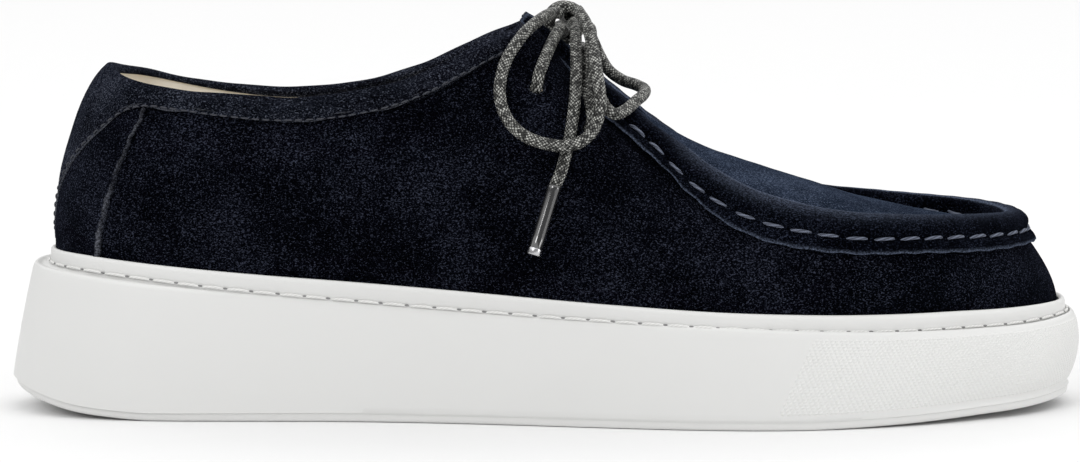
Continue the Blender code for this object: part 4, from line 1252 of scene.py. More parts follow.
def sole_rows(s):
    """The cup's section at ring stations: bottom edge, rim, wall, ledge, stitch groove, lip and inside."""
    x, y = (spline(c, s, True) for c in SOLE_LINE)
    lift, wall, lip = (height(name, x) for name in ("lift", "wall", "lip"))
    out = outward(SOLE_LINE, s)
    rows = [stack(x, y, 0.0) - out * inset + stack(0, 0, lift + up) for inset, up in BOTTOM_EDGE]
    for share in np.linspace(WALL_FOOT, WALL_HEAD, WALL_ROWS):
        rows.append(sole_side(s, np.full(len(s), share))[0])
    crest = sole_side(s, np.ones(len(s)))[0]
    rows += [crest - out * inward - UP * down for inward, down in CREST]
    near, far = rows[-1], lip_point(s, wall, LIP_OUT)
    rows += [near + (far - near) * share - UP * down for share, down in LEDGE]
    rows += [lip_point(s, wall + (lip - wall) * share, LIP_OUT - inward) for share, inward in LIP]
    rows.append(lip_point(s, lip - 0.6, CUP_GAP - 0.2))
    foot = upper_foot(s)
    rows.append(lip_point(s, foot[:, 2] + 0.55 * (lip - foot[:, 2]), CUP_GAP))
    floor = height("floor", foot[:, 0])
    rows.append(stack(foot[:, 0], foot[:, 1], floor) + outward(FOOT_LINE, s) * CUP_GAP)
    return np.stack(rows, axis=1)


def tread_relief(points):
    """How far the tread is cut in at points of the bottom: wide grooves, and fine zigzag ribs between."""
    x, y = points[..., 0], points[..., 1]
    low = -np.interp(x, SOLE["x"], SOLE["lateral"]) + GROOVE_MARGIN
    high = np.interp(x, SOLE["x"], SOLE["medial"]) - GROOVE_MARGIN
    inside = ease(y, low - 0.4, low + 0.4) * (1 - ease(y, high - 0.4, high + 0.4))
    half = GROOVE_WIDTH / 2
    wide = sum(1 - ease(np.abs(x - at), half - 0.3, half + 0.3) for at in GROOVES)
    zigzag = x + ZIGZAG_DEPTH * np.abs((y / ZIGZAG_LENGTH) % 2 - 1)
    ribs = ease(np.sin(zigzag * 2 * math.pi / RIB_PITCH), -0.2, 0.5) * RIB_DEPTH
    return np.maximum(wide * GROOVE_DEPTH, ribs * (1 - np.clip(wide, 0, 1))) * inside


def sheet_between(ring, across):
    """A sheet that spans a ring, heel to toe, with straight rows from its lateral to its medial side."""
    sides = np.arange(len(ring) // 2 + 1)
    a, b = ring[sides], ring[-sides % len(ring)]
    return a[:, None] + (b - a)[:, None] * np.linspace(0, 1, across + 1)[None, :, None]


def make_sole(settings, looks):
    """The cup with its rim, stitched lip and tread, its stitches and the grip on the toe."""
    half = settings.columns
    s = np.arange(2 * half) * TOE / half
    rows = sole_rows(s)
    free = slice(LEVEL_ROWS, -LEVEL_ROWS)
    rows[:, free] += (normals_of(rows, True) * waver(rows, 30.0, 3)[..., None] * 0.05)[:, free]
    shape = Shape()
    shape.grid(rows, wrap=True)
    bottom, floor = sheet_between(rows[:, 0], 90), sheet_between(rows[:, -1], 8)
    bottom[..., 2] += tread_relief(bottom)
    shape.grid(bottom)
    shape.grid(floor)
    finish_piece(shape.build("cupsole_visual", [looks["white_rubber"]]), "white_rubber", "cupsole")
    make_sole_stitches(settings, looks)
    make_toe_grip(settings, looks)


def make_sole_stitches(settings, looks):
    """The thread that holds the lip, and a painted shadow at each needle hole where it dips in."""
    s = np.linspace(0, 2 * TOE, 1200)
    wall = height("wall", spline(SOLE_LINE[0], s, True))
    line = lip_point(s, wall, STITCH_OUT) + UP * 0.1
    out = unit(outward(FOOT_LINE, s) * 0.8 + UP)
    pitch = settings.stitch_pitch / M
    shape, holes = Shape(), Shape()
    add_stitches(shape, line, out, pitch, pitch * 0.93, STITCH_RADIUS, 0.16)
    # Short dark marks between the stitches: painted shadow in the needle holes.
    add_stitches(holes, line + out * 0.1, out, pitch, HOLE_LENGTH, HOLE_RADIUS, 0.05, start=pitch / 2)
    finish_piece(shape.build("sole_stitches", [looks["white_thread"]]), "white_rubber")
    finish_piece(holes.build("sole_stitch_holes", [looks["hole_shadow"]]), "white_rubber")


def make_toe_grip(settings, looks):
    """Small diamond studs moulded on the toe's wall, with slanted ends."""
    pitch = settings.grip_pitch / M
    fine = np.linspace(0, 2 * TOE, 1500)
    far = arc_lengths(sole_side(fine, np.full(len(fine), 0.5))[0])
    first, last = (np.interp(at, fine, far) for at in GRIP_ENDS)
    count = int((last - first) / pitch) // 2 * 2
    share = np.linspace(WALL_FOOT + 0.03, 0.93, GRIP_ROWS + 1)[None, :]
    slant = GRIP_SLANT * share + 0.8
    start, stop = first + slant, last - slant
    run = start + (stop - start) * (np.arange(count + 1) / count)[:, None]
    s = np.interp(run, far, fine)
    points, out = sole_side(s, np.broadcast_to(share, s.shape))
    i, j = np.indices(s.shape)
    high = (i + j) % 2 == 1
    border = (i == 0) | (i == count) | (j == 0) | (j == GRIP_ROWS)
    rise = np.where(border, -0.12, np.where(high, settings.grip_height / M, 0.02))
    points = points + out * rise[..., None]
    shape = Shape()
    shape.grid(points)
    a, b, c, d = shape.faces[0].T
    low_first = ~high[:-1, :-1].reshape(-1, 1)
    one = np.where(low_first, np.stack([a, b, c], 1), np.stack([a, b, d], 1))
    two = np.where(low_first, np.stack([a, c, d], 1), np.stack([b, c, d], 1))
    tris = np.concatenate([one, two])
    shape.faces = [np.concatenate([tris, np.full((len(tris), 1), -1)], axis=1)]
    shape.looks = [np.zeros(len(tris), int)]
    item = shape.build("toe_grip", [looks["toe_rubber"]], sharp=12, closed=False)
    thicken(item, GRIP_THICKNESS)
    finish_piece(item, "white_rubber")


# ---------------------------------------------------------------- upper

# Soft folds where the shoe bends: each runs through points of the side (x and z, in millimetres) and has
# a side (-1 lateral, 1 medial), a half width and a depth.
FOLDS = [
    (-1, 3.6, 0.55, [(28.0, 72.0), (34.0, 60.0), (37.0, 48.0), (36.0, 38.0)]),
    (-1, 4.4, 0.45, [(46.0, 62.0), (53.0, 52.0), (55.0, 42.0)]),
    (-1, 3.2, 0.35, [(14.0, 76.0), (18.0, 62.0), (17.0, 50.0)]),
    (-1, 5.0, 0.40, [(-18.0, 96.0), (-28.0, 80.0), (-33.0, 64.0)]),
    (-1, 5.5, 0.35, [(-66.0, 82.0), (-62.0, 66.0), (-66.0, 52.0)]),
    (1, 3.8, 0.55, [(30.0, 71.0), (36.0, 59.0), (40.0, 46.0)]),
    (1, 4.6, 0.45, [(48.0, 60.0), (55.0, 50.0), (58.0, 41.0)]),
    (1, 5.2, 0.40, [(-20.0, 95.0), (-30.0, 78.0), (-34.0, 62.0)]),
    (1, 5.5, 0.35, [(-68.0, 82.0), (-64.0, 66.0), (-67.0, 52.0)]),
]


FOLD_POINTS = 30


def fold_relief(points):
    """How far the folds push points of the side in (below 0) and out (above 0)."""
    total = np.zeros(points.shape[:-1])
    for side, width, depth, route in FOLDS:
        line = spline(np.array(route), np.linspace(0, len(route) - 1, FOLD_POINTS))
        nearest = np.full(total.shape, 1e9)
        share = np.zeros(total.shape)
        for k, (x, z) in enumerate(line):
            away = np.hypot(points[..., 0] - x, points[..., 2] - z)
            share = np.where(away < nearest, k / (FOLD_POINTS - 1), share)
            nearest = np.minimum(nearest, away)
        fade = np.sin(np.pi * np.clip(share * 0.8 + 0.1, 0, 1)) ** 0.7
        on = ease(points[..., 1] * side, 0.0, 6.0)
        shape = -bump_at(nearest, 0, width) + 0.55 * bump_at(nearest, 2.1 * width, width * 0.9)
        total += shape * depth * fade * on
    return total


def eyelet_frame(name, side):
    """An eyelet's centre on the outer face and the direction out of it."""
    station, z = EYELETS[name]
    s = np.array(on_side(station, side), float)
    v = upper_share(s, np.array(z))
    return upper_point(s, v), upper_normal(s, v)


# The share of the side's height at which it starts, the heights between which its folds begin and the
# ring stations of the eyelet facing, whose edge is less worn.
UPPER_FOOT = 0.02
UPPER_ROWS = 60
CLEAR_OF_CUP = (45.0, 52.0)
FACING = (10.0, 13.6)
EDGE_ROUND = 0.45


def make_upper(settings, looks):
    """The side piece: rolled top edge, real thickness, soft folds and the four eyelet holes."""
    rows = settings.columns * 2
    s = (np.arange(rows) * TOE / settings.columns)[:, None]
    v = np.linspace(UPPER_FOOT, 1.0, UPPER_ROWS + 1)[None, :]
    points, out = upper_point(s, v), upper_normal(s, v)
    soft = unevenness(points, (22.0, 5, 0.28), (7.0, 6, 0.07))
    free = ease(points[..., 2], *CLEAR_OF_CUP) * (1 - ease(v, 0.955, 0.995))
    from_heel = np.minimum(s, 2 * TOE - s)
    facing = (from_heel > FACING[0]) & (from_heel < FACING[1])
    edge = ease(v, 0.975, 1.0) * np.where(facing, 0.25, 0.4)
    round_off = -EDGE_ROUND * ease(v, 0.985, 1.0) ** 2
    points = points + out * ((soft + fold_relief(points)) * free * settings.ripple + round_off)[..., None]
    shape = Shape()
    shape.grid(points, wrap=True, mark=edge, flip=True)
    item = shape.build("side_upper", [looks["navy_suede"], looks["lining_leather"]], sharp=60, closed=False)
    face_out(item, np.array([-20.0, 0.0, 60.0]))
    thicken(item, WALL, 1)
    for name in EYELETS:
        for side, label in SIDES:
            cut_hole(item, f"hole_{name}_{label}", *eyelet_frame(name, side))
    finish_piece(item, "navy_suede", "upper")
    make_eyelet_rims(looks)


def face_out(item, middle):
    """Turns a sheet's faces if they point at a place in the middle of the shoe."""
    mesh = item.data
    count = len(mesh.polygons)
    centres, normals, areas = np.zeros((count, 3)), np.zeros((count, 3)), np.zeros(count)
    for name, values in (("center", centres), ("normal", normals), ("area", areas)):
        mesh.polygons.foreach_get(name, values.reshape(-1))
    facing = np.sum(normals * (centres - middle * M), axis=1)
    if float(facing @ areas) < 0:
        mesh.flip_normals()


def cut_hole(item, name, centre, out):
    """Cuts a round hole through a piece, with a cylinder that is removed again."""
    bm = bmesh.new()
    radius = EYELET_RADIUS * M
    bmesh.ops.create_cone(bm, cap_ends=True, segments=40, radius1=radius, radius2=radius, depth=10 * M)
    mesh = bpy.data.meshes.new(name)
    bm.to_mesh(mesh)
    bm.free()
    cutter = add_object(name, mesh)
    cutter.matrix_world = Vector(out).to_track_quat("Z", "Y").to_matrix().to_4x4()
    cutter.location = Vector(centre * M)
    modifier = item.modifiers.new(name, "BOOLEAN")
    modifier.operation = "DIFFERENCE"
    modifier.object = cutter
    bpy.context.view_layer.update()
    apply_modifiers(item)
    bpy.data.objects.remove(cutter)


def apply_modifiers(item):
    """Turns a piece's modifiers into its own mesh."""
    graph = bpy.context.evaluated_depsgraph_get()
    done = item.evaluated_get(graph)
    made = bpy.data.meshes.new_from_object(done, preserve_all_data_layers=True, depsgraph=graph)
    item.modifiers.clear()
    item.data = made


def make_eyelet_rims(looks):
    """The pressed, slightly worn rim round each hole."""
    shape = Shape()
    turn, tube = np.linspace(0, 2 * math.pi, 41), np.linspace(0, 2 * math.pi, 11)
    reach = EYELET_RADIUS + 0.12 + 0.42 * np.cos(tube)
    rise = 0.04 + 0.3 * np.sin(tube)
    for name in EYELETS:
        for side, _ in SIDES:
            centre, out = eyelet_frame(name, side)
            a = unit(np.cross(out, UP))
            b = np.cross(out, a)
            ring = a * np.cos(turn)[:, None] + b * np.sin(turn)[:, None]
            points = centre + ring[:, None] * reach[None, :, None] + out * rise[None, :, None]
            shape.grid(points, mark=0.1)
    finish_piece(shape.build("eyelet_rims", [looks["trim_suede"]]), "navy_suede")


# ---------------------------------------------------------------- moccasin plug and tongue

# The flange's and ridge's section: up along the upper from the seam, and out of the upper's face.
SECTION = [
    (-7.5, 1.75),
    (-6.8, 2.05),
    (-5.4, 2.15),
    (-4.4, 1.95),
    (-3.6, 1.50),
    (-3.1, 1.28),
    (-2.6, 1.60),
    (-1.9, 2.50),
    (-0.8, 3.20),
    (0.7, 3.25),
    (2.1, 2.70),
    (3.3, 1.75),
    (4.2, 0.65),
    (4.6, -0.35),
    (4.72, -0.95),
    (4.45, -1.30),
    (4.30, -1.85),
    (3.7, -2.7),
    (2.4, -3.6),
    (0.9, -4.2),
]
SECTION_STEPS = 44
VALLEY = -3.1
# Place along the section of the crest's raw edge.
CREST_EDGE = 13.4
BRIDGE_STEPS = 26
# The flange's length at plug rows 0, 1, 2 and so on; from the last of these rows on it stays the same.
FLANGE_LENGTH = [1.8, 2.9, 4.6, 5.9, 6.6, 6.6, 6.6]
FLANGE_DROOP = 0.5
CLEAR_OF_UPPER = 1.3
# How deep the ridge's inner foot lies under the flange's outer face.
ROLL_DEPTH = 6.3
# The plug's unlined border inside the ridge, in columns, and the unlined rows at the tongue's tip.
BORDER = 5
TIP_ROWS = 14
# The rows of stitches: their place in the section, as in SECTION, and the plug row at which they start.
OUTER_SEAM = ((VALLEY, 1.75), 2.6)
INNER_SEAM = ((1.5, -3.95), 4.6)
# The outer faces of the plug and its gussets point away from this place, deep under the shoe.
BELOW_PLUG = np.array([40.0, 0.0, -200.0])


def bridge(start, leave, end, slope, share):
    """Points from start, leaving along a direction, to a crown point met level across the shoe."""
    span = np.linalg.norm(end - start, axis=-1, keepdims=True)
    level = unit((end - start) * LEVEL)
    arrive = unit(level + stack(0, 0, slope * level[..., 0]))
    f = share[None, :, None]
    p = start[:, None] * (1 + 2 * f) * (1 - f) ** 2 + end[:, None] * f * f * (3 - 2 * f)
    return p + (leave * span)[:, None] * f * (1 - f) ** 2 - (arrive * span)[:, None] * f * f * (1 - f)


def section_points(r, side, pairs, pucker=0.0):
    """Points of the flange and ridge at plug rows r, for pairs of up and out in the full section."""
    up_by, out_by = (np.asarray(c, float)[None, :] for c in zip(*pairs))
    last = len(FLANGE_LENGTH) - 1
    flange = spline(np.array(FLANGE_LENGTH), np.minimum(r, last))[:, None] / FLANGE_LENGTH[last]
    full, face = plug_fullness(r)[:, None], plug_face(r)[:, None]
    share = np.where(up_by > 0, full, flange)
    rise = up_by * share
    out = face + (out_by - FLANGE_OUT) * share + pucker
    here, up, away = plug_frame(r[:, None], side)
    free = ease(SEAM_JOIN - SEAM_FIRST - r, 0.0, 1.5)[:, None]
    droop = FLANGE_DROOP * np.maximum(-rise - 1.4, 0.0) * free
    points = here + up * rise[..., None] + away * out[..., None]
    points = points + droop[..., None] * np.array([0, 0.3 * side, -1.0])
    weight = np.where(up_by < 0.5, ease(r, 1.0, 2.2)[:, None], 0.0)
    return seat_on_side(points, out, weight, (1 - free) * ease(-rise, 0.0, 1.2))


def side_tree():
    """The upper half of the side's outer face as a search tree."""
    points = upper_point(np.linspace(0, 2 * TOE, 369)[:, None], np.linspace(0.5, 1.0, 31)[None, :])
    shape = Shape()
    shape.grid(points)
    return BVHTree.FromPolygons(points.reshape(-1, 3).tolist(), shape.faces[0].tolist())


# The side's search tree, once it is made.
_trees = []
# A point this far past the side's edge is held off no more.
REACH_BESIDE = 2.5


def seat_on_side(points, out, weight, follow):
    """Lifts points that lie too close to the side's face; follow says how far they keep at out from it.

    weight is 0 for points that are left alone.
    """
    if not _trees:
        _trees.append(side_tree())
    points = points.copy()
    for place in np.argwhere(weight > 0):
        place = tuple(place)
        p = Vector(points[place])
        near, normal, _, _ = _trees[0].find_nearest(p)
        away = p - near
        if normal.dot(Vector((0.0, near.y, 8.0))) < 0:
            normal = -normal
        gap = away.dot(normal)
        beside = (away - normal * gap).length
        need = CLEAR_OF_UPPER * max(0.0, 1.0 - beside / REACH_BESIDE)
        level = max(gap, need) + (out[place] - max(gap, need)) * follow[place]
        points[place] = p + normal * ((level - gap) * weight[place])
    return points


def seam_distance(r, side):
    """Distance along the seam at plug rows r."""
    fine = np.linspace(0, TOE - SEAM_FIRST, 600)
    return np.interp(r, fine, arc_lengths(plug_place(fine, side)))


def section_line():
    """Places along SECTION and its points there, on a smooth line."""
    place = np.linspace(0, len(SECTION) - 1, SECTION_STEPS)
    return place, spline(np.array(SECTION), place)


def plug_rows(r, side, pitch, depth):
    """The plug's upper face at plug rows r, from the flange's edge to the crown."""
    _, fine = section_line()
    face = fine[:, 1] > 0
    far = seam_distance(r, side)[:, None]
    beat = 0.5 - 0.5 * np.cos(2 * math.pi * far / pitch)
    near = bump_at(fine[:, 0], VALLEY, 2.6) * face
    fold = bump_at(fine[:, 0], 1.5, 3.4) * face
    slow = waver(stack(far, 0.0, 0.0), 26.0, 11 + side)
    pucker = depth * ((beat - 0.35) * near + (beat - 0.5) * 0.5 * fold + slow * 0.35 * fold)
    edge = section_points(r, side, fine, pucker * plug_fullness(r)[:, None])
    frill = 0.14 * np.sin(far * 2 * math.pi / pitch) + 0.35 * slow
    wave = bump_at(fine[:, 0], SECTION[0][0], 1.5) * frill
    edge = edge + plug_frame(r[:, None], side)[1] * wave[..., None]
    last = SEAM_FIRST + r > TOE - 2 - 1e-6
    x, y = (np.where(last, PLUG[name][-1], spline(PLUG[name], r)) for name in ("crown_x", "crown_y"))
    end = crown_point(x, y)
    slope = along(CROWN, "x", "z", x + 0.5) - along(CROWN, "x", "z", x - 0.5)
    rise = np.radians(spline(PLUG["rise"], r))[:, None]
    leave = unit((end - edge[:, -1]) * LEVEL) * np.cos(rise) + UP * np.sin(rise)
    share = np.linspace(0, 1, BRIDGE_STEPS + 1)[1:]
    return np.concatenate([edge, bridge(edge[:, -1], leave, end, slope, share)], axis=1)


def plug_marks(count):
    """Where the plug's rows are marked light: the flange's raw edge, and the crest's raw edge with a painted highlight
    along the crest and down the ridge's upper face.
    """
    place, fine = section_line()
    low = bump_at(fine[:, 0], SECTION[0][0], 0.5) * (fine[:, 1] > 0)
    # The crest's raw edge with a painted highlight on it, and a wider, fainter painted highlight on the ridge's lit
    # upper face.
    crest = bump_at(place, CREST_EDGE, 0.8) * 0.85 + bump_at(place, CREST_EDGE - 1.4, 1.9) * 0.4
    return np.concatenate([np.maximum(low, crest), np.zeros(count - SECTION_STEPS)])


def make_plug(settings, looks):
    """The moccasin plug with its gathered ridge, the tongue, its gussets and the hand-sewn stitches."""
    pitch, depth = settings.stitch_pitch / M, settings.pucker / M
    fine = np.linspace(0, TOE - SEAM_FIRST, 900)
    far = seam_distance(fine, -1)
    r = np.interp(np.linspace(0, far[-1], settings.rows + 1), far, fine)
    rows = np.concatenate([plug_rows(r, -1, pitch, depth), plug_rows(r[:-1], 1, pitch, depth)[::-1]])
    across = rows.shape[1]
    free = np.concatenate([np.zeros(SECTION_STEPS), ease(np.linspace(0, 1, BRIDGE_STEPS), 0.02, 0.3)])
    wrinkle = unevenness(rows, (16.0, 21, 0.30), (5.0, 22, 0.07))
    rows = rows + stack(0, 0, wrinkle * free[None, :])
    from_tip = np.minimum(np.arange(len(rows)), np.arange(len(rows))[::-1])[:, None]
    mark = np.maximum(plug_marks(across)[None, :], np.where(from_tip < 2, 0.6, 0.0))
    shape = Shape()
    shape.grid(rows, mark=mark)
    # The material slots: 0 for the flange and ridge, in the darker suede that paints shade on them, 1 for the plug
    # over its lining and 3 for its unlined border and the tongue's tip, both in the lighter suede that paints light on
    # the plug's top. The underside takes the slot after each of them.
    column = np.arange(across - 1)[None, :]
    inside = np.broadcast_to(column > SECTION_STEPS, (len(rows) - 1, across - 1))
    lined = (column > SECTION_STEPS + BORDER) & (from_tip[:-1] > TIP_ROWS)
    shape.looks = [np.where(lined, 1, np.where(inside, 3, 0)).reshape(-1)]
    roll, top = looks["roll_suede"], looks["plug_suede"]
    slots = [roll, top, looks["lining_leather"], top, roll]
    item = shape.build("moccasin_plug", slots, sharp=60, closed=False)
    face_out(item, BELOW_PLUG)
    thicken(item, settings.thickness / M, 1)
    thin = item.vertex_groups.new(name="thin_edge")
    ids = np.arange(len(rows) * across) % across
    for column in range(across):
        weight = float(0.3 + 0.7 * ease(column, SECTION_STEPS - 2, SECTION_STEPS + 8))
        thin.add(np.nonzero(ids == column)[0].tolist(), weight, "REPLACE")
    item.modifiers["leather"].vertex_group = thin.name
    finish_piece(item, "navy_suede_plug", "apron_tongue")
    for side, label in SIDES:
        make_gusset(side, label, looks)
    make_plug_stitches(settings, looks)


def make_gusset(side, label, looks):
    """The tongue's wing under the facing."""
    at = np.linspace(0, len(GUSSET["station"]) - 1, 60)
    s, r = on_side(spline(GUSSET["station"], at), side), spline(GUSSET["plug_row"], at)
    under = upper_offset(s[:, None], np.linspace(*GUSSET_SHARES, 10), -WALL - GUSSET_GAP)
    here, _, out = plug_frame(r, side)
    inner = plug_face(r) - ROLL_DEPTH * plug_fullness(r)
    foot = here + out * (inner - PLUG_THICKNESS - GUSSET_GAP)[:, None]
    leave = unit(under[:, -1] - under[:, -2])
    span = np.linalg.norm(foot - under[:, -1], axis=-1, keepdims=True)
    f = np.linspace(0, 1, 13)[1:][None, :, None]
    rest = under[:, -1:] * (1 - f) ** 2 * (1 + 2 * f) + foot[:, None] * f * f * (3 - 2 * f)
    rows = np.concatenate([under, rest + (leave * span)[:, None] * f * (1 - f) ** 2], axis=1)
    shape = Shape()
    shape.grid(rows)
    # The wing's outside takes the plug's lighter suede, which is painted light.
    slots = [looks["plug_suede"], looks["lining_leather"]]
    item = shape.build(f"tongue_gusset_{label}_visual", slots, closed=False)
    face_out(item, BELOW_PLUG)
    thicken(item, TONGUE_THICKNESS, 1)
    finish_piece(item, "navy_suede_plug", f"tongue_gusset_{label}")


def seam_line(pair, first):
    """A line along the plug's seam at one point of the section, from plug row first right round the toe.

    Returns its points, the directions out of the upper's face and the directions up it.
    """
    r = np.linspace(first, TOE - SEAM_FIRST, 700)
    parts = ((r, -1), (r[::-1][1:], 1))
    points = [section_points(rows, side, [pair])[:, 0] for rows, side in parts]
    _, up, out = zip(*(plug_frame(rows, side) for rows, side in parts))
    return np.concatenate(points), np.concatenate(out), np.concatenate(up)


def make_plug_stitches(settings, looks):
    """The thick thread round the plug: outside in the valley, and inside under the ridge."""
    pitch, length, radius = settings.stitch_pitch / M, settings.stitch_length / M, settings.thread / M / 2
    shape = Shape()
    line, out, up = seam_line(*OUTER_SEAM)
    add_stitches(shape, line, out, pitch, length, radius, 0.35, slant=0.2, up=up)
    line, out, up = seam_line(*INNER_SEAM)
    add_stitches(shape, line, -out, pitch, length * 0.9, radius * 0.9, 0.3, slant=0.3, up=up)
    finish_piece(shape.build("plug_stitches", [looks["slate_thread"]]), "navy_suede_plug")


# ---------------------------------------------------------------- collar, backstay, heel panels and footbed

# The padded band's section: share of the way from its lower edge to the rim, and how far out it stands.
BAND_OUT = [
    (0.0, 1.2),
    (0.04, 1.6),
    (0.12, 1.45),
    (0.26, 1.4),
    (0.5, 1.9),
    (0.7, 2.15),
    (0.88, 2.0),
    (0.97, 1.5),
]
# How far out the backstay stands: it has less padding than the band.
BACKSTAY_OUT = 1.25
# Ring stations at which the backstay ends beside the heel and the band ends at the facing.
BACKSTAY_END = 2.6
BAND_END = 9.5
# The rim over the side's top edge: half its width, its height and how far it is let down.
RIM_REACH = 2.15
RIM_RISE = 1.3
RIM_DROP = 0.8
# How far down inside the band's inner edge starts, and how far it comes down at the heel and beside the
# throat.
INNER_START = 0.85
BAND_IN = (1.25, 2.2)
BAND_THICKNESS = 1.05
PANEL_THICKNESS = 0.65
# The heel panel's lowest and highest row, and how far it runs on under the backstay, in ring stations.
PANEL_HEIGHTS = (43.5, 86.4)
PANEL_UNDER = 0.05
# The backstay's edge is given by this many of BAND's first rows.
BACKSTAY_ROWS = 7
# The topstitch's thread: its radius and how far it stands out.
TOPSTITCH = (0.24, 0.22)


def band_rows(s):
    """The band's face at ring stations: up the outside, over the rim and down inside."""
    z = along(BAND, "station", "z", np.abs(s))
    low = upper_share(s % (2 * TOE), z)[:, None]
    back = ease(BACKSTAY_END - np.abs(s), 0.0, 2.2)[:, None]
    share, out = spline(np.array(BAND_OUT), np.linspace(0, len(BAND_OUT) - 1, 26)).T[:, None]
    lean = out - (out - BACKSTAY_OUT) * back * (1 - ease(share, 0.55, 0.85))
    v = np.clip(low + (0.985 - low) * share, 0.0, 0.985)
    ring = s % (2 * TOE)
    outer = upper_offset(ring[:, None], v, lean)
    top, away = upper_top(ring), upper_normal(ring, 0.99)
    up = unit(upper_point(ring, 1.0) - upper_point(ring, 0.97))
    turn = np.linspace(0.25, math.pi - 0.1, 12)[None, :, None]
    rim = (top - away * WALL / 2)[:, None] + away[:, None] * np.cos(turn) * RIM_REACH
    rim = rim + up[:, None] * (np.sin(turn) * RIM_RISE - RIM_DROP)
    reach = np.linalg.norm(upper_point(ring, 1.0) - upper_point(ring, 0.9), axis=-1)[:, None] / 0.1
    inside = BAND_IN[0] + (BAND_IN[1] - BAND_IN[0]) * ease(np.abs(s), 2.8, 4.8)[:, None]
    down = np.linspace(0.0, 1.0, 5)[None, :]
    below = INNER_START + (inside - INNER_START) * down
    inner = upper_offset(ring[:, None], 1.0 - below / reach, -WALL - 1.1 + 0.3 * down)
    return np.concatenate([outer, rim, inner], axis=1)


def make_collar(settings, looks):
    """The padded collar band with the backstay, its fine topstitch and the two heel panels."""
    front = np.linspace(BACKSTAY_END, BAND_END, 260)[1:]
    s = np.concatenate([-front[::-1], np.linspace(-BACKSTAY_END, BACKSTAY_END, 240), front])
    rows = band_rows(s)
    across = np.arange(rows.shape[1])
    soft = unevenness(rows, (11.0, 31, 0.16), (34.0, 32, 0.2))
    pinch = bump_at(across, 0, 2.0) * 0.3 * waver(rows, 7.0, 33)
    rows = rows + normals_of(rows) * (soft * ease(across, 2, 8))[..., None] + stack(0, 0, pinch)
    frayed = 0.65 + 0.3 * waver(rows, 5.0, 34)
    edge = bump_at(across, 0.4, 1.7) * frayed + bump_at(across, across[-1], 1.2) * 0.3
    shape = Shape()
    shape.grid(rows, mark=np.clip(edge, 0.0, 1.0))
    item = shape.build("collar_band_visual", [looks["trim_suede"]], sharp=60, closed=False)
    turn_band_out(item)
    thicken(item, BAND_THICKNESS)
    finish_piece(item, "navy_suede_trim", "collar_band")
    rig.padded(item, settings.fill)
    make_band_topstitch(s, rows, settings, looks)
    for side, label in SIDES:
        make_heel_panel(side, label, looks)


def turn_band_out(item):
    """Turns the band's faces if one on its outside, a quarter of the way round, points inwards."""
    face = item.data.polygons[len(item.data.polygons) // 4]
    centre = np.array(face.center) / M
    if float(np.array(face.normal) @ (centre - np.array([centre[0] * 0.8, 0.0, 40.0]))) < 0:
        item.data.flip_normals()


def make_band_topstitch(s, rows, settings, looks):
    """A fine seam just above the band's lower edge."""
    line = rows[:, 4]
    out = unit(np.cross(np.gradient(line, axis=0), rows[:, 6] - rows[:, 2]))
    out = out * np.sign(dot(out, upper_normal(s % (2 * TOE), 0.8)))
    pitch = settings.topstitch / M
    shape = Shape()
    add_stitches(shape, line, out, pitch, pitch * 0.74, *TOPSTITCH)
    finish_piece(shape.build("collar_topstitch", [looks["grey_thread"]]), "navy_suede_trim")


def make_heel_panel(side, label, looks):
    """A panel beside the backstay with a raised, frayed front seam."""
    z = np.linspace(*PANEL_HEIGHTS, 94)
    back = np.interp(z, BAND["z"][:BACKSTAY_ROWS], BAND["station"][:BACKSTAY_ROWS]) - PANEL_UNDER
    wavy = 0.014 * np.sin(z * 0.7) + 0.012 * np.sin(z * 1.9 + 1) + 0.007 * np.sin(z * 4.7)
    front = along(PANEL, "z", "station", z) + wavy
    share = np.concatenate([np.linspace(0, 0.86, 26)[:-1], np.linspace(0.86, 1.0, 15)])
    station = back[:, None] + (front - back)[:, None] * share[None, :]
    s = on_side(station, side)
    out = 0.8 + 1.0 * bump_at(share, 0.965, 0.022) - 0.35 * ease(share, 0.985, 1.0)
    rows = upper_offset(s, upper_share(s, z[:, None]), out)
    rows = rows + upper_normal(s, 0.5) * (waver(rows, 9.0, 41) * 0.08)[..., None]
    mark = np.clip(bump_at(share, 0.972, 0.02) * (0.6 + 0.4 * waver(rows, 4.0, 42)), 0.0, 1.0)
    shape = Shape()
    shape.grid(rows, mark=mark)
    item = shape.build(f"heel_panel_{label}", [looks["panel_suede"]], sharp=60, closed=False)
    face_out(item, np.array([-85.0, 0.0, 60.0]))
    thicken(item, PANEL_THICKNESS)
    finish_piece(item, "navy_suede_panel", f"heel_counter_{label}")


# The footbed's edge: share of its thickness, and how far in from the side's inner face.
FOOTBED_EDGE = [(0.0, 1.0), (0.1, 0.45), (0.3, 0.3), (0.7, 0.35), (0.88, 0.5), (0.97, 0.95), (1.0, 1.5)]
FOOTBED_DISH = 0.9


def make_footbed(looks):
    """The cushioned footbed, cupped at its edges."""
    half = 220
    s = np.arange(2 * half) * TOE / half
    foot = upper_foot(s)
    out = outward(FOOT_LINE, s)
    rows = []
    for share, extra in FOOTBED_EDGE:
        z = foot[:, 2] + INSOLE_THICKNESS * share
        p = upper_point(s, upper_share(s, z)) - out * (WALL + extra)
        rows.append(stack(p[:, 0], p[:, 1], height("floor", p[:, 0]) + GAP + INSOLE_THICKNESS * share))
    shape = Shape()
    shape.grid(np.stack(rows, axis=1), wrap=True)
    shape.grid(sheet_between(rows[0], 6))
    top = sheet_between(rows[-1], 40)
    share = np.linspace(0, 1, 41)[None, :]
    dish = 16 * (share * (1 - share)) ** 2
    top[..., 2] -= (FOOTBED_DISH + 0.1 * waver(top, 20.0, 51)) * dish
    shape.grid(top)
    finish_piece(shape.build("footbed", [looks["footbed_leather"]]), "cream_leather", "insole")


# ---------------------------------------------------------------- lace

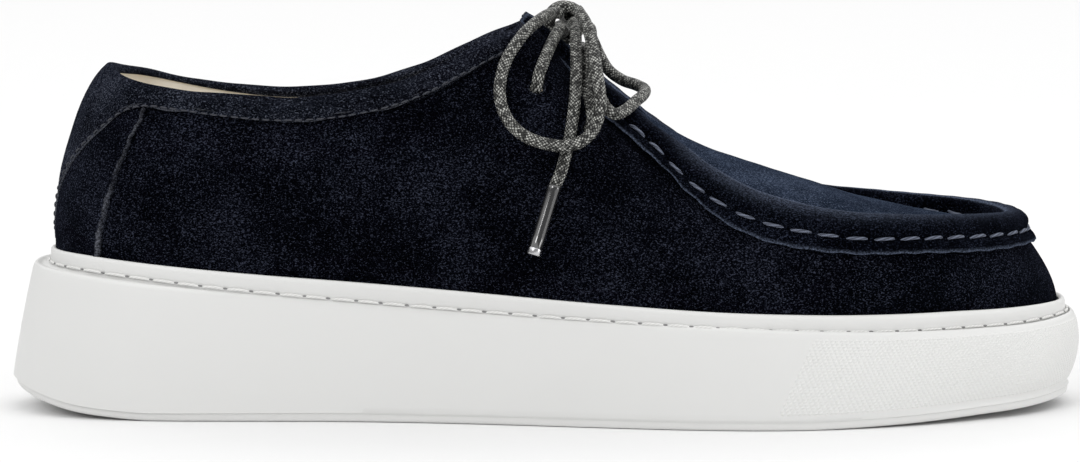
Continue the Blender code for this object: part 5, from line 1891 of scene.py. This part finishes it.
BRAID_STRANDS = 10
BRAID_CROSSINGS = 8.5
# Points of a crossing on the eyelet's axis, from inside to outside.
THROUGH_EYELET = (-3.6, -1.0, 1.5)
# The bow's wrap: its middle, its radius and how far it drifts to each side.
KNOT_MIDDLE = np.array([5.2, 0.0, 109.6])
KNOT_REACH = 4.6
KNOT_DRIFT = 2.7
# The lace tip's profile, as shares of its radius: at distances from the lace's end, and at distances
# before its own far end, where it ends in a bright cap.
AGLET_SLEEVE = [
    (-0.6, 0.88),
    (-0.5, 0.95),
    (-0.1, 1.0),
    (0.4, 1.0),
    (1.2, 0.97),
    (2.0, 0.95),
    (8.0, 0.95),
    (14.0, 0.95),
]
AGLET_CAP = [(2.1, 0.95), (1.9, 1.0), (1.7, 1.02), (0.3, 1.02), (0.1, 0.98), (0.0, 0.86)]
CAP_LENGTH = 1.95


def lace_relief(depth):
    """Crossing strands raised on the lace."""

    def relief(turn, far):
        around, along_it = turn * BRAID_STRANDS / (2 * math.pi), far * BRAID_CROSSINGS / 10
        a, b = around + along_it, around - along_it
        wide, long = np.sin(math.pi * (a % 1)), np.sin(math.pi * (b % 1))
        over = (np.floor(a) + np.floor(b)) % 2
        return depth * (np.where(over > 0.5, wide * np.sqrt(long), long * np.sqrt(wide)) - 0.5)

    return relief


def make_lace(name, route, looks, settings, *nodes):
    """A braided lace through the route's points; returns the piece and its path in metres."""
    path = smooth_path(route, settings.lace_step / M)
    shape = Shape()
    add_tube(shape, path, settings.diameter / M / 2 - 0.05, 40, relief=lace_relief(settings.braid / M))
    item = finish_piece(shape.build(name, [looks["waxed_lace"]], sharp=80), "waxed_lace", *nodes)
    return item, path * M


def crossing_routes():
    """The lace's two crossings, through the lower and the upper eyelets."""
    routes = []
    crossings = (("lower", BAR_LEAD, 3.4, BAR_OVER), ("upper", STRAND_LEAD, 3.0, STRAND_OVER))
    for name, lead, away, over in crossings:
        ends = []
        for side, turned in ((-1, 1.0), (1, MIRROR)):
            centre, out = eyelet_frame(name, side)
            inner = [centre + out * far for far in THROUGH_EYELET]
            ends.append(inner + [centre + out * away + lead * turned])
        routes.append(ends[0] + [np.array(point) for point in over] + ends[1][::-1])
    return routes


def knot_route():
    """The bow's wrap round the crossing, a little more than one and a half turns."""
    turn = np.linspace(-0.35 * math.pi, 2.95 * math.pi, 26)
    drift = np.linspace(-KNOT_DRIFT, KNOT_DRIFT, len(turn))
    reach = KNOT_REACH + 0.25 * np.sin(turn * 1.7)
    return KNOT_MIDDLE + stack(reach * np.cos(turn), drift, reach * np.sin(turn) * 0.95)


def make_laces(settings, looks):
    """The crossings, the knot, both loops and both ends with their aglets."""
    low, high = crossing_routes()
    make_lace("lace_bar_visual", low, looks, settings, "lace_bar")
    make_lace("lace_strands_visual", high, looks, settings, "lace_strands")
    knot = make_lace("lace_knot_visual", knot_route(), looks, settings, "lace_knot")[0]
    thick = settings.diameter
    for name, route, lead in (
        ("lace_loop_lateral", LOOP_LATERAL, (3.6, -3.4, 112.4)),
        ("lace_loop_medial", LOOP_MEDIAL, (6.6, 1.6, 111.6)),
    ):
        item, path = make_lace(f"{name}_visual", [lead] + route, looks, settings, name)
        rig.cord(item, path[0], length_of(path), thick, "knot", path=path, with_pieces=[knot])
    for name, route, lead, tip in (
        ("lateral", END_LATERAL, (7.6, -4.2, 109.8), AGLET_TIP_LATERAL),
        ("medial", END_MEDIAL, (6.6, 2.6, 111.4), AGLET_TIP_MEDIAL),
    ):
        item, path = make_lace(f"lace_end_{name}_visual", [lead] + route, looks, settings, f"lace_end_{name}")
        aglet = make_aglet(name, route[-1], tip, looks)
        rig.cord(item, path[0], length_of(path), thick, "fitting", path=path, with_pieces=[aglet])


def length_of(path):
    """A path's length, in the path's own unit."""
    return float(arc_lengths(path)[-1])


def make_aglet(label, start, tip, looks):
    """The lace's hard tip: a smooth sleeve, a fold where it grips the lace and a bright end."""
    a, b = np.array(start, float), np.array(tip, float)
    way = unit(b - a)
    end = AGLET_GAP + AGLET_LENGTH
    profile = AGLET_SLEEVE + [(end - back, size) for back, size in AGLET_CAP]
    at, size = np.array(profile).T
    shape = Shape()
    add_tube(shape, a + way * at[:, None], size * AGLET_DIAMETER / 2, 32)
    item = shape.build(f"aglet_{label}_visual", [looks["aglet_plastic"], looks["aglet_tip"]], sharp=50)
    far = (np.array([list(face.center) for face in item.data.polygons]) / M - a) @ way
    item.data.polygons.foreach_set("material_index", (far > end - CAP_LENGTH).astype(np.int32))
    return finish_piece(item, "aglet_plastic", f"aglet_{label}")


# ---------------------------------------------------------------- floor, light and camera


# Half the floor's width, in millimetres.
FLOOR_REACH = 6000.0
# The camera's place, and each light's place, the point it faces and its size, in metres.
CAMERA_PLACE = (-0.00187, -1.0, 0.150)
OVERHEAD_LIGHT = ((0.0, 1.5, 3.5), (0.0, 1.5, 0.0), 16.0)
KEY_LIGHT = ((-0.75, -1.5, 0.95), (0.0, 0.0, 0.05), 0.5)
TOE_LIGHT = ((0.80, -0.42, 0.12), (0.10, -0.03, 0.0), 0.3)


def make_stage(settings):
    """A wide pale floor, soft light from above and the camera beside the shoe."""
    scene = bpy.context.scene
    scene.view_settings.view_transform = "Standard"
    world = bpy.data.worlds.new("studio")
    scene.world = world
    world.use_nodes = True
    sky = world.node_tree.nodes["Background"].inputs
    sky["Color"].default_value = rgb(1.0, 1.0, 1.0)
    sky["Strength"].default_value = settings.sky
    shape = Shape()
    side = np.linspace(-FLOOR_REACH, FLOOR_REACH, 25)
    shape.grid(stack(side[:, None], side[None, :], 0.0))
    floor = shape.build("studio_floor", [make_floor_paint()], closed=False)
    lights = [
        make_light("overhead_light", settings.overhead, *OVERHEAD_LIGHT),
        make_light("key_light", settings.key, *KEY_LIGHT),
        make_light("toe_light", settings.fill, *TOE_LIGHT),
    ]
    data = bpy.data.cameras.new("camera")
    data.lens = settings.lens
    data.sensor_width = 36.0
    camera = add_object("camera", data)
    camera.location = CAMERA_PLACE
    camera.rotation_euler = (math.pi / 2 - settings.tilt, 0.0, 0.0)
    scene.camera = camera
    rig.stage(floor, camera, *lights)


def make_floor_paint():
    """Pale matt paint with a hardly visible unevenness."""
    paint = bpy.data.materials.new("studio_floor")
    paint.use_nodes = True
    tree = paint.node_tree
    shader = tree.nodes["Principled BSDF"]
    grain = noise(tree, object_coordinates(tree), 60, 3, 0.5)
    colour = blend(tree, grain, rgb(0.82, 0.82, 0.82), rgb(0.81, 0.81, 0.81))
    tree.links.new(colour, shader.inputs["Base Color"])
    shader.inputs["Roughness"].default_value = 0.9
    shader.inputs["Specular IOR Level"].default_value = 0.1
    return paint


def make_light(name, power, place, aim, size):
    """A square light at a place, turned to face another."""
    data = bpy.data.lights.new(name, "AREA")
    data.shape = "SQUARE"
    data.size = size
    data.energy = power
    item = add_object(name, data)
    item.location = place
    item.rotation_euler = (Vector(aim) - Vector(place)).to_track_quat("-Z", "Y").to_euler()
    return item


# ---------------------------------------------------------------- settings, operators and panel


def size_property(name, description, millimetres):
    """A length, given in millimetres and kept in metres."""
    return bpy.props.FloatProperty(
        name=name,
        description=description,
        default=millimetres * M,
        min=0.0,
        precision=5,
        subtype="DISTANCE",
        unit="LENGTH",
    )


def number_property(name, description, value, low=0.0, **more):
    """A plain number, or one with a unit."""
    return bpy.props.FloatProperty(name=name, description=description, default=value, min=low, **more)


def count_property(name, description, count):
    """How finely a surface is divided."""
    return bpy.props.IntProperty(name=name, description=description, default=count, min=60)


def colour_property(name, description, r, g, b):
    """A material's main colour, in linear light."""
    return bpy.props.FloatVectorProperty(
        name=name,
        description=description,
        default=rgb(r, g, b),
        size=4,
        min=0.0,
        max=1.0,
        subtype="COLOR",
    )


class MOCCASIN_PG_colours(bpy.types.PropertyGroup):
    navy_suede: colour_property("Side suede", "Light tone of the side", 0.0018, 0.0021, 0.0043)
    # Lighter than the side's suede: painted light on the plug's lit top.
    plug_suede: colour_property("Plug suede", "Light tone of the plug and tongue", 0.0260, 0.0370, 0.0640)
    # Darker than the side's suede: painted shade on the ridge's outer face.
    roll_suede: colour_property("Ridge suede", "Light tone of the plug's ridge", 0.0014, 0.0018, 0.0038)
    trim_suede: colour_property("Collar suede", "Light tone of the collar band", 0.0115, 0.0135, 0.0215)
    panel_suede: colour_property("Heel suede", "Light tone of the heel panels", 0.0034, 0.0040, 0.0076)
    lining_leather: colour_property("Lining", "Leather inside the shoe", 0.95, 0.91, 0.83)
    footbed_leather: colour_property("Footbed", "Leather of the footbed", 0.84, 0.75, 0.60)
    white_rubber: colour_property("Sole", "Rubber of the cup sole", 0.67, 0.67, 0.66)
    toe_rubber: colour_property("Toe grip", "Rubber of the studs on the toe", 0.67, 0.67, 0.66)
    slate_thread: colour_property("Seam thread", "Thread of the plug's seam", 0.150, 0.172, 0.235)
    grey_thread: colour_property("Fine thread", "Thread of the collar's topstitch", 0.055, 0.06, 0.078)
    white_thread: colour_property("Sole thread", "Thread round the sole's lip", 0.74, 0.74, 0.73)
    # Tone of the painted shadow in the needle holes.
    hole_shadow: colour_property("Needle holes", "Tone of the holes in the lip", 0.20, 0.20, 0.20)
    # Bright colour of the lace's painted glints.
    waxed_lace: colour_property("Lace", "Wax on the lace's strands", 0.720, 0.725, 0.680)
    aglet_plastic: colour_property("Lace tips", "Sleeve of the lace tips", 0.012, 0.012, 0.013)
    aglet_tip: colour_property("Tip caps", "Metal cap of the lace tips", 0.55, 0.55, 0.57)


class MOCCASIN_PG_sole(bpy.types.PropertyGroup):
    columns: count_property("Columns", "Columns along each side of the sole", 420)
    stitch_pitch: size_property("Stitch pitch", "From one stitch of the lip to the next", 7.2)
    grip_pitch: size_property("Grip pitch", "From one stud of the toe grip to the next", 0.75)
    grip_height: size_property("Grip height", "How far the toe's studs stand out", 0.2)


class MOCCASIN_PG_upper(bpy.types.PropertyGroup):
    columns: count_property("Columns", "Columns along each side of the upper", 230)
    ripple: number_property("Ripple", "Strength of the leather's folds and unevenness", 1.0, max=2.0)


class MOCCASIN_PG_plug(bpy.types.PropertyGroup):
    rows: count_property("Rows", "Rows along each side of the plug", 300)
    thickness: size_property("Thickness", "Leather of the plug", 1.2)
    pucker: size_property("Pucker", "How far the ridge gathers between the stitches", 0.5)
    stitch_pitch: size_property("Stitch pitch", "From one stitch of the plug to the next", 8.0)
    stitch_length: size_property("Stitch length", "Length of each stitch", 5.9)
    thread: size_property("Thread", "Thickness of the thread", 0.95)


class MOCCASIN_PG_collar(bpy.types.PropertyGroup):
    topstitch: size_property("Topstitch pitch", "From one fine stitch to the next", 3.0)
    fill: number_property("Fill", "How tight the padding is", 0.7, max=1.0)


class MOCCASIN_PG_lace(bpy.types.PropertyGroup):
    diameter: size_property("Diameter", "Thickness of the lace", 3.4)
    braid: size_property("Braid depth", "How far the lace's strands stand out", 0.08)
    lace_step: size_property("Step", "Distance between rings of the lace", 0.3)


class MOCCASIN_PG_stage(bpy.types.PropertyGroup):
    lens: number_property("Lens", "Focal length in millimetres", 116.9, low=10.0)
    tilt: number_property(
        "Tilt", "How far the camera looks down", 0.0998, low=-1.5, subtype="ANGLE", unit="ROTATION"
    )
    sky: number_property("Sky", "Strength of the light from all round", 0.34)
    overhead: number_property("Overhead light", "Power of the wide soft light overhead", 820.0, unit="POWER")
    key: number_property("Key light", "Power of the light from the front", 6.6, unit="POWER")
    fill: number_property("Toe light", "Power of the low light at the toe", 1.3, unit="POWER")


class MOCCASIN_OT_stage(bpy.types.Operator):
    """Sets up the floor, the lights and the camera"""

    bl_idname = "moccasin.stage"
    bl_label = "Floor, Light and Camera"

    def execute(self, context):
        make_stage(context.scene.moccasin_stage)
        return {"FINISHED"}


class MOCCASIN_OT_laces(bpy.types.Operator):
    """Builds the lace's crossings, knot, loops, ends and tips"""

    bl_idname = "moccasin.laces"
    bl_label = "Laces"

    def execute(self, context):
        make_laces(context.scene.moccasin_lace, shoe_looks())
        return {"FINISHED"}


class MOCCASIN_OT_sole(bpy.types.Operator):
    """Builds the cup sole with its stitches, tread and toe grip"""

    bl_idname = "moccasin.sole"
    bl_label = "Cup Sole"

    def execute(self, context):
        make_sole(context.scene.moccasin_sole, shoe_looks())
        return {"FINISHED"}


class MOCCASIN_OT_upper(bpy.types.Operator):
    """Builds the suede side piece and its eyelets"""

    bl_idname = "moccasin.upper"
    bl_label = "Side Upper"

    def execute(self, context):
        make_upper(context.scene.moccasin_upper, shoe_looks())
        return {"FINISHED"}


class MOCCASIN_OT_plug(bpy.types.Operator):
    """Builds the moccasin plug, the tongue and the hand-sewn seam"""

    bl_idname = "moccasin.plug"
    bl_label = "Plug and Tongue"

    def execute(self, context):
        make_plug(context.scene.moccasin_plug, shoe_looks())
        return {"FINISHED"}


class MOCCASIN_OT_collar(bpy.types.Operator):
    """Builds the padded collar, the backstay and the heel panels"""

    bl_idname = "moccasin.collar"
    bl_label = "Collar and Heel Panels"

    def execute(self, context):
        make_collar(context.scene.moccasin_collar, shoe_looks())
        return {"FINISHED"}


class MOCCASIN_OT_footbed(bpy.types.Operator):
    """Builds the cushioned footbed"""

    bl_idname = "moccasin.footbed"
    bl_label = "Footbed"

    def execute(self, context):
        make_footbed(shoe_looks())
        return {"FINISHED"}


class MOCCASIN_PT_build(bpy.types.Panel):
    bl_idname = "MOCCASIN_PT_build"
    bl_label = "Moccasin Shoe"
    bl_space_type = "VIEW_3D"
    bl_region_type = "UI"
    bl_category = "Moccasin"

    def draw(self, context):
        for operator, group in STEPS:
            box = self.layout.box()
            box.operator(operator.bl_idname)
            if group is not None:
                draw_settings(box, getattr(context.scene, group))
        draw_settings(self.layout.box(), context.scene.moccasin_colours)


def draw_settings(box, settings):
    """Lists a group's settings in a box of the panel."""
    for name in settings.bl_rna.properties.keys():
        if name not in {"rna_type", "name"}:
            box.prop(settings, name)


GROUPS = {
    "moccasin_colours": MOCCASIN_PG_colours,
    "moccasin_stage": MOCCASIN_PG_stage,
    "moccasin_lace": MOCCASIN_PG_lace,
    "moccasin_sole": MOCCASIN_PG_sole,
    "moccasin_upper": MOCCASIN_PG_upper,
    "moccasin_plug": MOCCASIN_PG_plug,
    "moccasin_collar": MOCCASIN_PG_collar,
}
STEPS = [
    (MOCCASIN_OT_stage, "moccasin_stage"),
    (MOCCASIN_OT_laces, "moccasin_lace"),
    (MOCCASIN_OT_sole, "moccasin_sole"),
    (MOCCASIN_OT_upper, "moccasin_upper"),
    (MOCCASIN_OT_plug, "moccasin_plug"),
    (MOCCASIN_OT_collar, "moccasin_collar"),
    (MOCCASIN_OT_footbed, None),
]
# The shoe's materials, once they are made.
_looks = {}


def shoe_looks():
    """The shoe's materials, made on first use."""
    if not _looks:
        _looks.update(make_looks(bpy.context.scene.moccasin_colours))
    return _looks


def register():
    """Makes the settings, operators and panel known."""
    for group in GROUPS.values():
        bpy.utils.register_class(group)
    for operator, _ in STEPS:
        bpy.utils.register_class(operator)
    bpy.utils.register_class(MOCCASIN_PT_build)
    for name, group in GROUPS.items():
        setattr(bpy.types.Scene, name, bpy.props.PointerProperty(type=group))


def unregister():
    """Takes them away again."""
    for name in GROUPS:
        delattr(bpy.types.Scene, name)
    bpy.utils.unregister_class(MOCCASIN_PT_build)
    for operator, _ in reversed(STEPS):
        bpy.utils.unregister_class(operator)
    for group in reversed(list(GROUPS.values())):
        bpy.utils.unregister_class(group)


def main():
    """Builds every step in order and writes the sizes of the solid model and of the finished shoe."""
    register()
    for operator, _ in STEPS:
        family, name = operator.bl_idname.split(".")
        if getattr(getattr(bpy.ops, family), name)() != {"FINISHED"}:
            raise RuntimeError(f"{operator.bl_label} could not be built")
    sizes = {"cad": plain(CAD_BOX), "visual": plain(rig.bounds())}
    with open("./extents.json", "w") as file:
        json.dump(sizes, file)


def plain(box):
    """Corners as plain lists of numbers."""
    return [[float(c) for c in corner] for corner in box]


if __name__ == "__main__":
    main()
